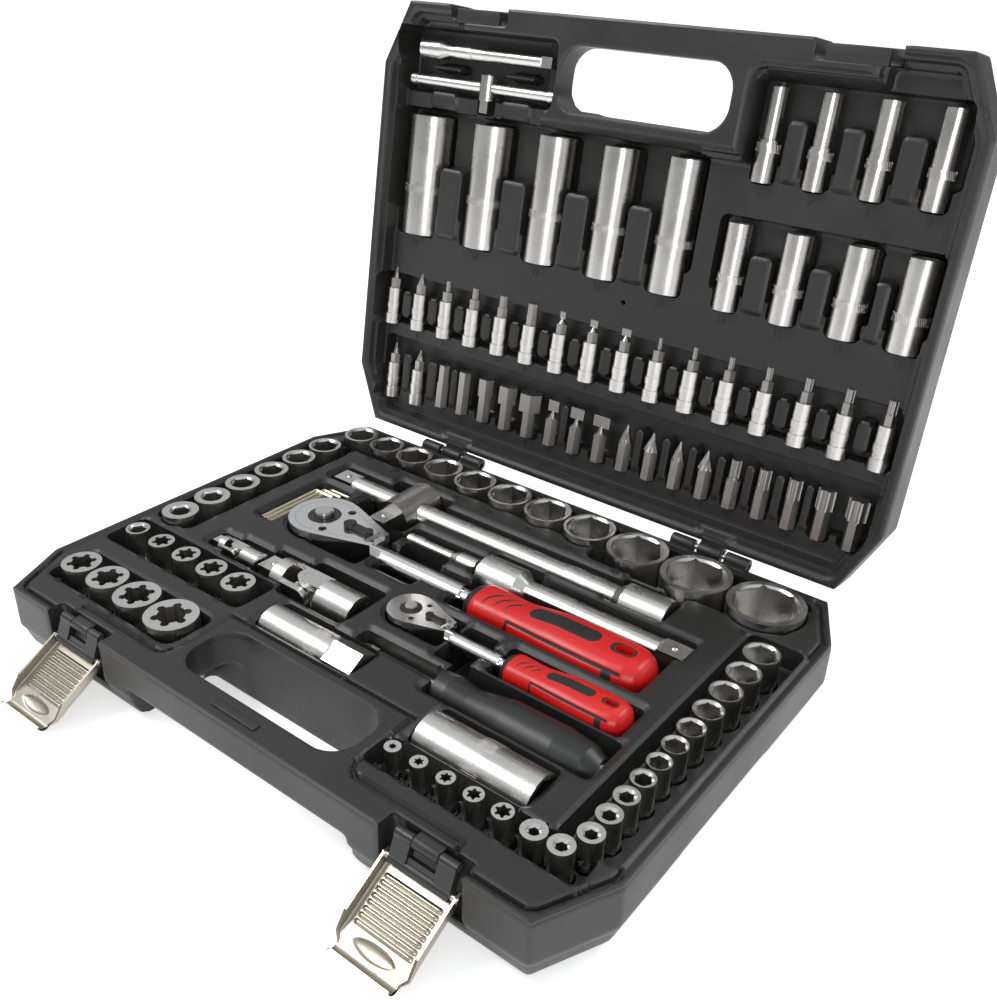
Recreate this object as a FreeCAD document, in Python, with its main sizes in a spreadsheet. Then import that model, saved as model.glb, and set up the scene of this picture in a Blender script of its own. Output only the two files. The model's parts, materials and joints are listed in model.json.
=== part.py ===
"""Socket wrench set in a blow-moulded case, millimetres, +Z up.

The origin is the centre of the case's flat underside.  +X runs to the right along the hinge and +Y runs
back to the hinge.  The case stands open: everything that rides in the lid is built as if the lid were
shut and then swung open about the hinge axis.
"""
import FreeCAD, Part
import os
import re
import Sketcher
from FreeCAD import Rotation, Vector

doc = FreeCAD.newDocument("socket_set")
sheet = doc.addObject("Spreadsheet::Sheet", "Sizes")

# ---------------------------------------------------------------- driving dimensions
SIZES = {
    # case
    "case_width": 388, "case_depth": 280, "base_height": 42, "lid_height": 42, "open_angle": 99,
    "corner_across": 18, "corner_along": 38, "wall": 2.2, "belt_height": 25, "foot_inset": 6,
    "tray_margin": 6, "groove_width": 2.6, "groove_depth": 2.5, "lid_recess": 13, "lid_gap": 0.3,
    "handle_bar": 16, "handle_gap": 37, "handle_span": 114, "handle_thickness": 20,
    "latch_x": 120, "latch_notch": 45, "latch_notch_depth": 10, "ledge_height": 24,
    # hinge
    "hinge_offset": 4.5, "hinge_radius": 4, "pin_radius": 1.6, "hinge_x": 100, "knuckle_length": 15,
    "knuckle_gap": 3,
    # latch
    "link_drop": 12, "plate_length": 44, "plate_width": 40, "plate_gauge": 1.2,
    # fits
    "tool_clearance": 1.2, "socket_clearance": 0.7, "pin_clearance": 0.12, "proud": 4,
    # tools
    "half_square": 12.7, "quarter_square": 6.35, "half_bar": 16, "quarter_bar": 8,
    "half_socket_length": 38, "quarter_socket_length": 25, "deep_half_length": 77, "deep_quarter_length": 49,
    "grip_width": 34, "grip_length": 124, "small_grip_width": 23, "small_grip_length": 77,
}
for row, (alias, value) in enumerate(SIZES.items(), 1):
    sheet.set("A%d" % row, alias)
    sheet.set("B%d" % row, str(value))
    sheet.setAlias("B%d" % row, alias)
doc.recompute()


def full(text):
    """The expression with each named size pointing at the sheet."""
    return re.sub(r"[a-z][a-z_0-9]*", lambda m: "Sizes." + m.group(0) if m.group(0) in SIZES else m.group(0),
                  str(text))


def bind(thing, **sizes):
    """Ties properties of a document object to expressions; a plain number is simply set."""
    for name, text in sizes.items():
        thing.setExpression(name.replace("__", "."), full(text))
    return thing


def place(thing, at):
    """Ties a sub-part's position to expressions."""
    for letter, text in zip("xyz", at):
        if str(text) != "0":
            thing.setExpression(".Placement.Base." + letter, full(text))
    return thing


def new(kind, hint="piece"):
    return doc.addObject(kind, hint)


# ---------------------------------------------------------------- primitives
TURN = {"z": Rotation(), "x": Rotation(Vector(0, 1, 0), 90), "y": Rotation(Vector(1, 0, 0), -90),
        "-x": Rotation(Vector(0, 1, 0), -90), "-y": Rotation(Vector(1, 0, 0), 90),
        "-z": Rotation(Vector(1, 0, 0), 180)}


def box(length, width, height, at):
    """A box whose lowest corner is at `at`."""
    return place(bind(new("Part::Box"), Length=length, Width=width, Height=height), at)


def middle_box(length, width, height, at):
    """A box centred on `at` in X and Y, standing on its Z."""
    x, y, z = at
    return box(length, width, height, ("(%s)-(%s)/2" % (x, length), "(%s)-(%s)/2" % (y, width), z))


def cylinder(radius, length, at, axis="z"):
    thing = bind(new("Part::Cylinder"), Radius=radius, Height=length)
    thing.Placement.Rotation = TURN[axis]
    return place(thing, at)


def cone(radius, far_radius, length, at, axis="z"):
    thing = bind(new("Part::Cone"), Radius1=radius, Radius2=far_radius, Height=length)
    thing.Placement.Rotation = TURN[axis]
    return place(thing, at)


def ball(radius, at):
    return place(bind(new("Part::Sphere"), Radius=radius), at)


def prism(sides, across, length, at, axis="z", spin=0):
    """A straight prism given by its distance across flats."""
    thing = new("Part::Prism")
    thing.Polygon = sides
    bind(thing, Height=length)
    corner = {4: "0.70711", 6: "0.57735"}[sides]
    bind(thing, Circumradius="(%s)*%s" % (across, corner))
    thing.Placement.Rotation = TURN[axis].multiply(Rotation(Vector(0, 0, 1), spin))
    return place(thing, at)


def fuse(*things):
    if len(things) == 1:
        return things[0]
    joined = new("Part::MultiFuse")
    joined.Shapes = list(things)
    joined.Refine = True
    return joined


def cut(whole, *tools):
    left = new("Part::Cut")
    left.Base = whole
    left.Tool = fuse(*tools)
    return left


def common(one, other):
    both = new("Part::Common")
    both.Base = one
    both.Tool = other
    return both


def group(*things):
    """Separate solids of one kind that share a node."""
    gathered = new("Part::Compound")
    gathered.Links = list(things)
    return gathered


def outline(points, bottom, height, taper=0):
    """A prism on a closed outline of (x, y) expressions, from `bottom` up by `height`."""
    corners = [Vector(value(x), value(y), 0) for x, y in points]
    sketch = new("Sketcher::SketchObject", "outline")
    count = len(corners)
    for index in range(count):
        sketch.addGeometry(Part.LineSegment(corners[index], corners[(index + 1) % count]))
    for index in range(count):
        sketch.addConstraint(Sketcher.Constraint("Coincident", index, 2, (index + 1) % count, 1))
    for index, (x, y) in enumerate(points):
        for kind, text, number in (("DistanceX", x, corners[index].x), ("DistanceY", y, corners[index].y)):
            which = sketch.addConstraint(Sketcher.Constraint(kind, -1, 1, index, 1, number))
            sketch.setExpression("Constraints[%d]" % which, full(text))
    solid = new("Part::Extrusion")
    solid.Base = sketch
    solid.DirMode = "Custom"
    solid.Dir = Vector(0, 0, 1)
    solid.Solid = True
    bind(solid, LengthFwd=height)
    if taper:
        solid.TaperAngle = taper
    return place(solid, (0, 0, bottom))


def value(text):
    """The number that an expression has now, for a sketch's first position."""
    sheet.set("D1", "=" + str(text))
    sheet.recompute()
    return float(sheet.get("D1"))


PARTS = {}


def node(name, thing):
    """Names a finished sub-part: the name is its label and its file."""
    thing.Label = name
    PARTS[name] = thing
    return thing


HINGE_Y = "(case_depth/2+hinge_offset)"
HINGE_Z = "base_height"


def lid_node(name, thing):
    """A sub-part built as in the shut lid, swung open about the hinge axis."""
    thing.Placement.Rotation = Rotation(Vector(1, 0, 0), -SIZES["open_angle"])
    turned_y = "(%s*cos(open_angle*1deg)+%s*sin(open_angle*1deg))" % (HINGE_Y, HINGE_Z)
    turned_z = "(%s*cos(open_angle*1deg)-%s*sin(open_angle*1deg))" % (HINGE_Z, HINGE_Y)
    place(thing, (0, "%s-%s" % (HINGE_Y, turned_y), "%s-%s" % (HINGE_Z, turned_z)))
    return node(name, thing)


# ---------------------------------------------------------------- outlines of the case
def octagon(inset):
    """The case outline with its clipped corners, drawn in by `inset` all round."""
    length = (SIZES["corner_across"] ** 2 + SIZES["corner_along"] ** 2) ** 0.5
    along_shift = (length - SIZES["corner_along"]) / SIZES["corner_across"]
    across_shift = (length - SIZES["corner_across"]) / SIZES["corner_along"]
    side = "case_width/2-(%s)" % inset
    end = "case_depth/2-(%s)" % inset
    side_corner = "case_depth/2-corner_along-(%s)*%.4f" % (inset, along_shift)
    end_corner = "case_width/2-corner_across-(%s)*%.4f" % (inset, across_shift)
    quarter = [(side, side_corner), (end_corner, end)]
    right_back = quarter
    left_back = [("-(%s)" % x, y) for x, y in reversed(quarter)]
    left_front = [("-(%s)" % x, "-(%s)" % y) for x, y in quarter]
    right_front = [(x, "-(%s)" % y) for x, y in reversed(quarter)]
    return right_back + left_back + left_front + right_front


def tray_edge(grow):
    """The inner edge of the rim: an octagon that steps back behind the latches and the handle."""
    ring = octagon("tray_margin-(%s)" % grow)
    handle_side = "handle_span/2+9-(%s)" % grow
    handle_back = "-case_depth/2+handle_bar+handle_gap+8-(%s)" % grow
    latch_back = "-case_depth/2+latch_notch_depth+6-(%s)" % grow
    latch_side = "latch_x+latch_notch/2+4+(%s)" % grow
    front = "-case_depth/2+tray_margin-(%s)" % grow
    left = [(latch_side, front), (latch_side, latch_back), (handle_side, latch_back), (handle_side, handle_back)]
    right = [("-(%s)" % x, y) for x, y in left]
    return ring[:6] + right + list(reversed(left)) + ring[6:]


def loft(low, low_z, high, high_z):
    """A solid between two outlines with the same number of corners."""
    sections = []
    for points, level in ((low, low_z), (high, high_z)):
        slab = outline(points, level, 1)
        sketch = slab.Base
        doc.removeObject(slab.Name)
        sketch.setExpression(".Placement.Base.z", full(level))
        sections.append(sketch)
    solid = new("Part::Loft")
    solid.Sections = sections
    solid.Solid = True
    solid.Ruled = True
    return solid


# ---------------------------------------------------------------- sockets that stand in the base
# size and outside diameter
BACK_SOCKETS = [(32, 44), (30, 41.5), (27, 37), (24, 32), (22, 30), (21, 28.5), (20, 27.5), (19, 26), (18, 25),
                (17, 24), (16, 23.5)]
SIDE_SOCKETS = [(15, 22), (14, 22), (13, 22), (12, 22), (11, 22), (10, 22)]
SMALL_SOCKETS = [(5, 12), (5.5, 12), (6, 12), (7, 12), (8, 12), (9, 13), (10, 14), (11, 15.5), (12, 16.8),
                 (13, 18), (14, 19.5)]
STAR_LARGE = [(24, 29), (20, 25.6), (18, 23), (16, 22)]
STAR_MEDIUM = [(14, 19), (12, 17.5), (11, 16), (10, 15)]
STAR_SMALL = [(4, 8), (5, 8.4), (6, 8.8), (7, 9.4), (8, 10)]
MEDIUM_FOOT = 21
SMALL_FOOT = 12

SOCKET_FLOOR = "(base_height+proud-half_socket_length)"
SMALL_FLOOR = "(base_height+proud-quarter_socket_length)"


def standing_places():
    """Every upright tool: (family, size, outside diameter, x, y)."""
    found = []
    back_x = 41.8
    last = 0
    for number, (size, across) in enumerate(BACK_SOCKETS):
        if number:
            back_x += last / 2 + across / 2 + 1.12
        last = across
        found.append(("back", size, across, "case_width/2-%s" % back_x, "case_depth/2-8-%s" % (across / 2)))
    for number, (size, across) in enumerate(SIDE_SOCKETS):
        found.append(("side", size, across, "-case_width/2+23", "case_depth/2-%s" % (49 + 24.4 * number)))
    small_y = 49
    last = 0
    for number, (size, across) in enumerate(SMALL_SOCKETS):
        if number:
            small_y += last / 2 + across / 2 + 1.6
        last = across
        found.append(("small", size, across, "case_width/2-23.5", "-case_depth/2+%s" % small_y))
    found.append(("small", 4, 12, "case_width/2-42.5", "-case_depth/2+35.5"))
    found.append(("small", 4.5, 12, "case_width/2-29.2", "-case_depth/2+36"))
    star_x = -84
    last = 0
    for number, (size, across) in enumerate(STAR_LARGE):
        if number:
            star_x -= last / 2 + across / 2 + 2
        last = across
        found.append(("star_large", size, across, star_x, "-case_depth/2+36"))
    for number, (size, across) in enumerate(STAR_MEDIUM):
        found.append(("star_medium", size, across, -82 - 22.5 * number, "-case_depth/2+79"))
    for number, (size, across) in enumerate(STAR_SMALL):
        found.append(("star_small", size, across, 73.5 + 15.5 * number, "-case_depth/2+35.5"))
    found.append(("adapter", 8, 14, "-case_width/2+22", "-case_depth/2+79"))
    return found


FOOT = {"star_medium": MEDIUM_FOOT, "adapter": MEDIUM_FOOT, "star_small": SMALL_FOOT}
SHORT_FAMILIES = ("small", "star_small")


def footprint(family, across):
    """Widest diameter of an upright tool, at its foot."""
    return max(FOOT.get(family, 0), across)


def floor_of(family):
    return SMALL_FLOOR if family in SHORT_FAMILIES else SOCKET_FLOOR


def length_of(family):
    return "quarter_socket_length" if family in SHORT_FAMILIES else "half_socket_length"


def star_hole(across, bottom, depth, at_x, at_y):
    """The six-lobed bore of an external-star socket."""
    inner = across / 2 * 0.72
    lobe = across / 2 * 0.22
    ring = across / 2 * 0.80
    solids = [cylinder(inner, depth, (at_x, at_y, bottom))]
    for step in range(6):
        offset = Rotation(Vector(0, 0, 1), 60 * step).multVec(Vector(ring, 0, 0))
        solids.append(cylinder(lobe, depth, ("(%s)+%.4f" % (at_x, offset.x), "(%s)+%.4f" % (at_y, offset.y), bottom)))
    return fuse(*solids)


def upright_socket(family, size, across, at_x, at_y):
    """A socket on its drive end: outside, working bore, drive square and the mouth's chamfer."""
    low = floor_of(family)
    tall = length_of(family)
    short = family in SHORT_FAMILIES
    square = "quarter_square" if short else "half_square"
    foot = footprint(family, across)
    if foot > across:
        foot_height = 4 if short else 12
        flare = 2.5 if short else 4
        shape = fuse(cylinder(foot / 2, foot_height, (at_x, at_y, low)),
                     cone(foot / 2, across / 2, flare, (at_x, at_y, "%s+%s" % (low, foot_height))),
                     cylinder(across / 2, "%s-%s" % (tall, foot_height + flare),
                              (at_x, at_y, "%s+%s" % (low, foot_height + flare))))
    else:
        shape = cylinder(across / 2, tall, (at_x, at_y, low))
    waist = "(%s+(%s)*0.45)" % (low, tall)
    reach = "(%s)*0.55+1" % tall
    drive = prism(4, square, "(%s)*0.45+1" % tall, (at_x, at_y, "%s-1" % low))
    if family.startswith("star"):
        bore = star_hole(size * 0.92 if short else across * 0.72, waist, reach, at_x, at_y)
        return cut(shape, fuse(bore, drive))
    bore = prism(6, size + 0.2, reach, (at_x, at_y, waist))
    mouth = cone(size * 0.54, size * 0.54 + 1.2, 1.2, (at_x, at_y, "%s+%s-1.2" % (low, tall)))
    return cut(shape, fuse(bore, drive, mouth))


STANDING = standing_places()


def standing_group(*families):
    return group(*[upright_socket(*spot) for spot in STANDING if spot[0] in families])


node("side_sockets", standing_group("side"))
node("back_sockets", standing_group("back"))
node("quarter_sockets", standing_group("small"))
node("star_sockets", standing_group("star_large", "star_medium", "star_small"))
node("bit_adapter", standing_group("adapter"))


# ---------------------------------------------------------------- ratchets
def at(x, y, z, dx=0, dy=0, dz=0):
    """A point moved by plain distances from a point given as expressions."""
    return ("(%s)+(%s)" % (x, dx), "(%s)+(%s)" % (y, dy), "(%s)+(%s)" % (z, dz))


def ratchet(name, scale, x, y, z, square, grip_start, grip_length, grip_width):
    """A pear-head ratchet lying on its drive side, handle along +X; `scale` is 1 for the 1/2" tool."""
    def s(number):
        return round(number * scale, 3)

    def spot(dx=0, dy=0, dz=0):
        return at(x, y, z, s(dx), s(dy), s(dz))

    def pear(inset, bottom, height):
        half = [(0, 22), (8, 21), (26, 15), (46, 8.5)]
        points = [(a, b - inset) for a, b in half] + [(a, inset - b) for a, b in reversed(half)]
        flat = outline([("(%s)+%s" % (x, s(a)), "(%s)+%s" % (y, s(b))) for a, b in points], 0, s(height))
        round_end = cylinder(s(22 - inset), s(height), (x, y, 0))
        return place(fuse(flat, round_end), (0, 0, "(%s)+%s" % (z, s(bottom))))

    # head and neck
    head = fuse(pear(0, -13, 26),
                cylinder(s(7.5), "%s-%s" % (grip_start, s(40)), spot(40), "x"),
                cylinder(s(5.5), "(%s)*0.8" % grip_length, at(x, y, z, grip_start), "x"))
    gear_room = cylinder(s(12.4), s(23), spot(0, 0, -11))
    journal = cylinder(s(9.8), s(10), spot(0, 0, -16))
    pawl_room = cylinder(s(7.8), s(23), spot(22, 0, -11))
    window = middle_box(s(12), s(9), s(23), spot(13, 0, -11))
    cover_seat = pear(4, 11, 5)
    node(name + "_body", cut(head, gear_room, journal, pawl_room, window, cover_seat))
    # cover plate, its screws
    plate = common(pear(4.2, 11, 2), middle_box(s(62), s(40), s(4), spot(8, 0, 10)))
    holes = [cylinder(s(10.3), s(6), spot(0, 0, 9)), cylinder(s(2.9), s(6), spot(22, 0, 9))]
    screws = []
    for side in (1, -1):
        holes.append(cylinder(s(2.6), s(6), spot(11, 12.6 * side, 9)))
        head_of_screw = cylinder(s(2.4), s(1.6), spot(11, 12.6 * side, 11))
        screws.append(cut(head_of_screw, prism(6, s(2.4), s(1.2), spot(11, 12.6 * side, 11.8))))
    node(name + "_cover", cut(plate, *holes))
    node(name + "_cover_screws", group(*screws))
    # drive gear with its square, and the release button in its bore
    gear = [cylinder(s(11.4), s(19), spot(0, 0, -9)), cylinder(s(9.6), s(5.5), spot(0, 0, -14.4)),
            cylinder(s(10), s(3.2), spot(0, 0, 9.8)),
            prism(4, square, s(15), spot(0, 0, -29), spin=45)]
    for step in range(36):
        tip = Rotation(Vector(0, 0, 1), 10 * step).multVec(Vector(11.2, 0, 0))
        gear.append(prism(4, s(1.1), s(12), spot(tip.x, tip.y, -6), spin=10 * step))
    spring_ball = ball(s(2.4), at(x, y, "(%s)-(%s)" % (z, s(22)), 0, "-(%s)/2+%s" % (square, s(1.4))))
    node(name + "_drive", cut(fuse(spring_ball, *gear), cylinder(s(6), s(16), spot(0, 0, 0))))
    button = fuse(cylinder(s(5.7), s(11), spot(0, 0, 5)), cylinder(s(4.9), s(0.8), spot(0, 0, 16)))
    node(name + "_button", button)
    # reversing lever and the pawl on its stem
    lever = fuse(cylinder(s(4), s(2.6), spot(22, 0, 13.3)), cylinder(s(2.5), s(19), spot(22, 0, -5.5)),
                 middle_box(s(15), s(4.6), s(2.2), spot(29, 0, 13.3)),
                 cylinder(s(3), s(2.8), spot(37, 0, 13.3)))
    node(name + "_lever", lever)
    pawl = cut(cylinder(s(7), s(14), spot(22, 0, -9.5)), cylinder(s(2.5), s(20), spot(22, 0, -5.5)),
               middle_box(s(3), s(16), s(20), spot(30, 0, -11)))
    node(name + "_pawl", pawl)
    # two-material grip: a pear in plan and a bar in side view, with a hanging hole
    start = grip_start
    wide = grip_width
    deep = "(%s)*0.82" % grip_width
    share = [(0, 0.32), (0.06, 0.40), (0.16, 0.39), (0.27, 0.38), (0.45, 0.47), (0.70, 0.5), (0.90, 0.47),
             (0.97, 0.34), (1, 0.18)]

    def profile(side):
        return [("(%s)+%s+(%s)*%s" % (x, start, grip_length, a), "(%s)+(%s)*%s" % (y, wide, side * b))
                for a, b in share]

    plan = outline(profile(1) + list(reversed(profile(-1))), "(%s)-(%s)/2" % (z, deep), deep)
    side_share = [(0, 0.34), (0.06, 0.42), (0.3, 0.40), (0.5, 0.5), (0.92, 0.5), (1, 0.3)]
    side_points = [("(%s)+%s+(%s)*%s" % (x, start, grip_length, a), "(%s)+(%s)*%s" % (z, deep, b))
                   for a, b in side_share]
    side_points += [("(%s)+%s+(%s)*%s" % (x, start, grip_length, a), "(%s)-(%s)*%s" % (z, deep, b))
                    for a, b in reversed(side_share)]
    slab = outline(side_points, 0, wide)
    slab.Placement.Rotation = Rotation(Vector(1, 0, 0), 90)
    place(slab, (0, "(%s)+(%s)/2" % (y, wide), 0))
    tang = cylinder(s(5.5), "(%s)*0.8" % grip_length, at(x, y, z, start), "x")
    hang_x = "%s+(%s)*0.86" % (start, grip_length)
    hole = fuse(cylinder(s(4), wide, at(x, y, z, hang_x, 0, "-(%s)/2" % wide)),
                middle_box(s(7), s(8), wide, at(x, y, z, "%s+%s" % (hang_x, s(3.5)), 0, "-(%s)/2" % wide)),
                cylinder(s(4), wide, at(x, y, z, "%s+%s" % (hang_x, s(7)), 0, "-(%s)/2" % wide)))
    pad_x = "%s+(%s)*0.38" % (start, grip_length)

    def pad(trim, height):
        long = "(%s)*0.36" % grip_length
        top = "(%s)/2-%s" % (deep, s(2))
        return common(fuse(middle_box(long, s(10 - trim), height, at(x, y, z, "%s+(%s)/2" % (pad_x, long), 0, top)),
                           cylinder(s(5 - trim / 2), height, at(x, y, z, pad_x, 0, top)),
                           cylinder(s(5 - trim / 2), height, at(x, y, z, "%s+%s" % (pad_x, long), 0, top))),
                      box(300, 100, 100, at(x, y, z, 0, -50, 0)))

    collar_room = box(s(9), 100, 100, at(x, y, z, "%s-1" % start, -50, -50))
    shape = common(plan, slab)
    node(name + "_grip", cut(shape, tang, hole, pad(0, s(4)), collar_room))
    collar = cut(common(common(plan, slab), box(s(9) - 1, 100, 100, at(x, y, z, start, -50, -50))), tang)
    node(name + "_grip_inlay", group(collar, pad(0, s(2))))


HALF_RATCHET = ("-100", "22", "base_height-9")
QUARTER_RATCHET = ("6", "-17", "base_height-5")
ratchet("half_ratchet", 1, *HALF_RATCHET, "half_square", 110, "grip_length", "grip_width")
ratchet("quarter_ratchet", 0.6, *QUARTER_RATCHET, "quarter_square", 61, "small_grip_length", "small_grip_width")


# ---------------------------------------------------------------- spinner handle
SPINNER = ("0", "-46.5", "base_height-12")


def spinner():
    """The screwdriver handle: square-ended shaft, turned grip and the drive socket in its far end."""
    x, y, z = SPINNER
    shaft = fuse(prism(4, "quarter_square", 10, at(x, y, z, -2), "x", 45), cone(2.6, 3.9, 2, at(x, y, z, 8), "x"),
                 cylinder(3.9, 78, at(x, y, z, 10), "x"), ball(1.6, at(x, y, z, 3, 0, "quarter_square/2-0.9")))
    node("spinner_shaft", shaft)
    turned = [(52, 11, 11.6, 8), (60, 11.6, 9.8, 12), (72, 9.8, 13.6, 22), (94, 13.6, 14, 30),
              (124, 14, 12.2, 16), (140, 12.2, 8.5, 7)]
    grip = [cone(r1, r2, length, at(x, y, z, start), "x") for start, r1, r2, length in turned]
    room = [cylinder(3.9, 36, at(x, y, z, 52), "x"), cylinder(6.2, 16, at(x, y, z, 132), "x")]
    node("spinner_grip", cut(fuse(*grip), *room))
    end = cut(cylinder(6.2, 16.5, at(x, y, z, 132), "x"),
              prism(4, "quarter_square+0.1", 10, at(x, y, z, 140), "x", 45))
    node("spinner_end_socket", end)


spinner()


# ---------------------------------------------------------------- extensions and T heads
def extension(socket_first, x, y, z, length, socket_radius, socket_length, bar, square, tang):
    """A drive extension along X: a socket with a square hole at one end, a ball square at the other."""
    if socket_first:
        socket_x, neck_x = "0", socket_length
        bar_x, bar_end = "%s+%s" % (socket_length, 6), "(%s)-(%s)" % (length, tang)
        square_x = bar_end
        neck = cone(socket_radius, "(%s)/2" % bar, 6, at(x, y, z, neck_x), "x")
        hole_x = "-1"
        grip_band = "%s+%s" % (socket_length, 12)
    else:
        socket_x = "(%s)-(%s)" % (length, socket_length)
        bar_x, bar_end = tang, "(%s)-6" % socket_x
        square_x = "0"
        neck = cone("(%s)/2" % bar, socket_radius, 6, at(x, y, z, bar_end), "x")
        hole_x = "(%s)-(%s)+1" % (length, tang)
        grip_band = "(%s)-%s" % (socket_x, 40)
    body = [cylinder(socket_radius, socket_length, at(x, y, z, socket_x), "x"), neck,
            cylinder("(%s)/2" % bar, "(%s)-(%s)" % (bar_end, bar_x), at(x, y, z, bar_x), "x"),
            prism(4, square, tang, at(x, y, z, square_x), "x", 45),
            ball("(%s)*0.18" % square, at(x, y, z, "(%s)+(%s)/2" % (square_x, tang), 0, "(%s)/2-(%s)*0.08"
                                          % (square, square)))]
    body.append(cylinder("(%s)/2+0.35" % bar, "(%s)*1.6" % bar, at(x, y, z, grip_band), "x"))
    hole = prism(4, "(%s)+0.2" % square, "%s" % tang, at(x, y, z, hole_x), "x", 45)
    return cut(fuse(*body), hole)


LONG_BAR = ("-142", "77", "base_height-9")
SHORT_BAR = ("4", "50", "base_height-10")
SMALL_BAR = ("-50", "48", "base_height-7")
node("extension_250", extension(False, *LONG_BAR, "254", 12, "28", "half_bar", "half_square", "16"))
node("extension_125", extension(True, *SHORT_BAR, "134", 12.5, "26", "half_bar", "half_square", "16"))
node("quarter_extension_50", extension(False, *SMALL_BAR, "50", 5.9, "13", "quarter_bar", "quarter_square", "8"))


def tee_head(x, y, z, bar, radius, square, reach):
    """A sliding head: a barrel across the bar with a ball square on its front."""
    barrel = cylinder(radius, "(%s)*2.1" % bar, at(x, y, z, 0, "-(%s)*1.05" % bar), "y")
    drive = prism(4, square, reach, at(x, "(%s)-(%s)*1.05-(%s)" % (y, bar, reach), z), "y", 45)
    catch = ball("(%s)*0.18" % square, at(x, "(%s)-(%s)*1.05-(%s)/2" % (y, bar, reach), z, 0, 0,
                                          "(%s)/2-(%s)*0.08" % (square, square)))
    bore = cylinder("(%s)/2+pin_clearance+0.2" % bar, "(%s)*3" % radius, at(x, y, z, "-(%s)*1.5" % radius), "x")
    return cut(fuse(barrel, drive, catch), bore)


TEE_X = "-80"
node("sliding_tee_head", tee_head(TEE_X, LONG_BAR[1], LONG_BAR[2], "half_bar", 13, "half_square", "14"))


# ---------------------------------------------------------------- universal joints
def universal_joint(name, scale, x, y, z, square):
    """Drive yoke, cross and socket yoke, all along X, with the cross at (x, y, z)."""
    def s(number):
        return round(number * scale, 3)

    def spot(dx=0, dy=0, dz=0):
        return at(x, y, z, s(dx), s(dy), s(dz))

    def yoke(side, flip):
        """Two rounded prongs from a round shoulder; `side` is -1 for the drive end."""
        prongs = []
        for arm in (1, -1):
            low = 6.6 if arm > 0 else -10.8
            if flip:
                prongs.append(cylinder(s(6.3), s(4.2), spot(0, 0, low)))
                prongs.append(middle_box(s(15), s(12.6), s(4.2), spot(7.5 * side, 0, low)))
            else:
                prongs.append(cylinder(s(6.3), s(4.2), spot(0, low, 0), "y"))
                prongs.append(middle_box(s(15), s(4.2), s(12.6), spot(7.5 * side, low + 2.1, -6.3)))
        return prongs

    drive = yoke(-1, False) + [cylinder(s(12), s(9), spot(-22.4, 0, 0), "x"),
                               prism(4, square, s(14), spot(-36, 0, 0), "x", 45),
                               ball(s(2.2), at(x, y, "(%s)+(%s)/2-%s" % (z, square, s(1)), s(-29)))]
    pin_y = cylinder(s(2.6), s(24), spot(0, -12, 0), "y")
    node(name + "_drive_yoke", cut(fuse(*drive), pin_y))
    socket = yoke(1, True) + [cylinder(s(12), s(26), spot(13.4, 0, 0), "x")]
    pin_z = cylinder(s(2.6), s(24), spot(0, 0, -12))
    hole = prism(4, "(%s)+0.2" % square, s(17), spot(23.4, 0, 0), "x", 45)
    node(name + "_socket_yoke", cut(fuse(*socket), pin_z, hole))
    core = middle_box(s(12), s(12), s(12), spot(0, 0, -6))
    pins = [cylinder(s(2.5), s(21.4), spot(0, -10.7, 0), "y"), cylinder(s(2.5), s(21.4), spot(0, 0, -10.7))]
    node(name + "_cross", fuse(core, *pins))


HALF_JOINT = ("-60", "-29", "base_height-9")
QUARTER_JOINT = ("-118", "-31.5", "base_height-5")
universal_joint("half_joint", 1, *HALF_JOINT, "half_square")
universal_joint("quarter_joint", 0.52, *QUARTER_JOINT, "quarter_square")


# ---------------------------------------------------------------- spark plug sockets
PLUG_21 = ("71", "-78", "base_height-10")
PLUG_16 = ("-52", "-64", "base_height-9")


def plug_socket(name, x, y, z, length, radius, plug, mouth_right, hex_nut):
    """A deep socket lying along X, with the rubber insert that grips the plug."""
    mouth = length if mouth_right else 0
    turn = -1 if mouth_right else 1
    parts = [cylinder(radius, length - hex_nut, at(x, y, z), "x")]
    if hex_nut:
        parts.append(prism(6, radius * 1.86, hex_nut, at(x, y, z, length - hex_nut), "x"))

    def bore(maker, depth, reach, *shape):
        start = mouth + turn * depth
        low = min(start, start + turn * reach)
        return maker(*shape, reach, at(x, y, z, low), "x")

    hollow = [bore(prism, -1, 16, 6, plug + 0.3), bore(cylinder, 14, 31, plug / 2 + 0.15)]
    drive_low = -1 if mouth_right else length - 14
    hollow.append(prism(4, "half_square+0.2", 15, at(x, y, z, drive_low), "x", 45))
    hollow.append(bore(cylinder, 44, length - 57, 5))
    node(name, cut(fuse(*parts), *hollow))
    ring = cut(bore(cylinder, 20, 18, plug / 2 + 0.15), bore(cylinder, 19, 20, plug / 2 - 3))
    node(name + "_insert", ring)


plug_socket("plug_socket_21", *PLUG_21, 66, 13.4, 21, True, 0)
plug_socket("plug_socket_16", *PLUG_16, 68, 11.2, 16, False, 20)


# ---------------------------------------------------------------- hex keys
KEYS = ("-137", "4", "base_height-4")
KEY_SIZES = [3, 2.5, 2]


def hex_keys():
    x, y, z = KEYS
    keys = []
    for number, size in enumerate(KEY_SIZES):
        shift = 3.6 * number
        keys.append(fuse(prism(6, size, 46 + shift, at(x, y, z, shift), "y"),
                         prism(6, size, 15, at(x, y, z, shift, 46 + shift), "x"),
                         ball(size * 0.577, at(x, y, z, shift, 46 + shift))))
    return group(*keys)


node("hex_keys", hex_keys())


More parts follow.
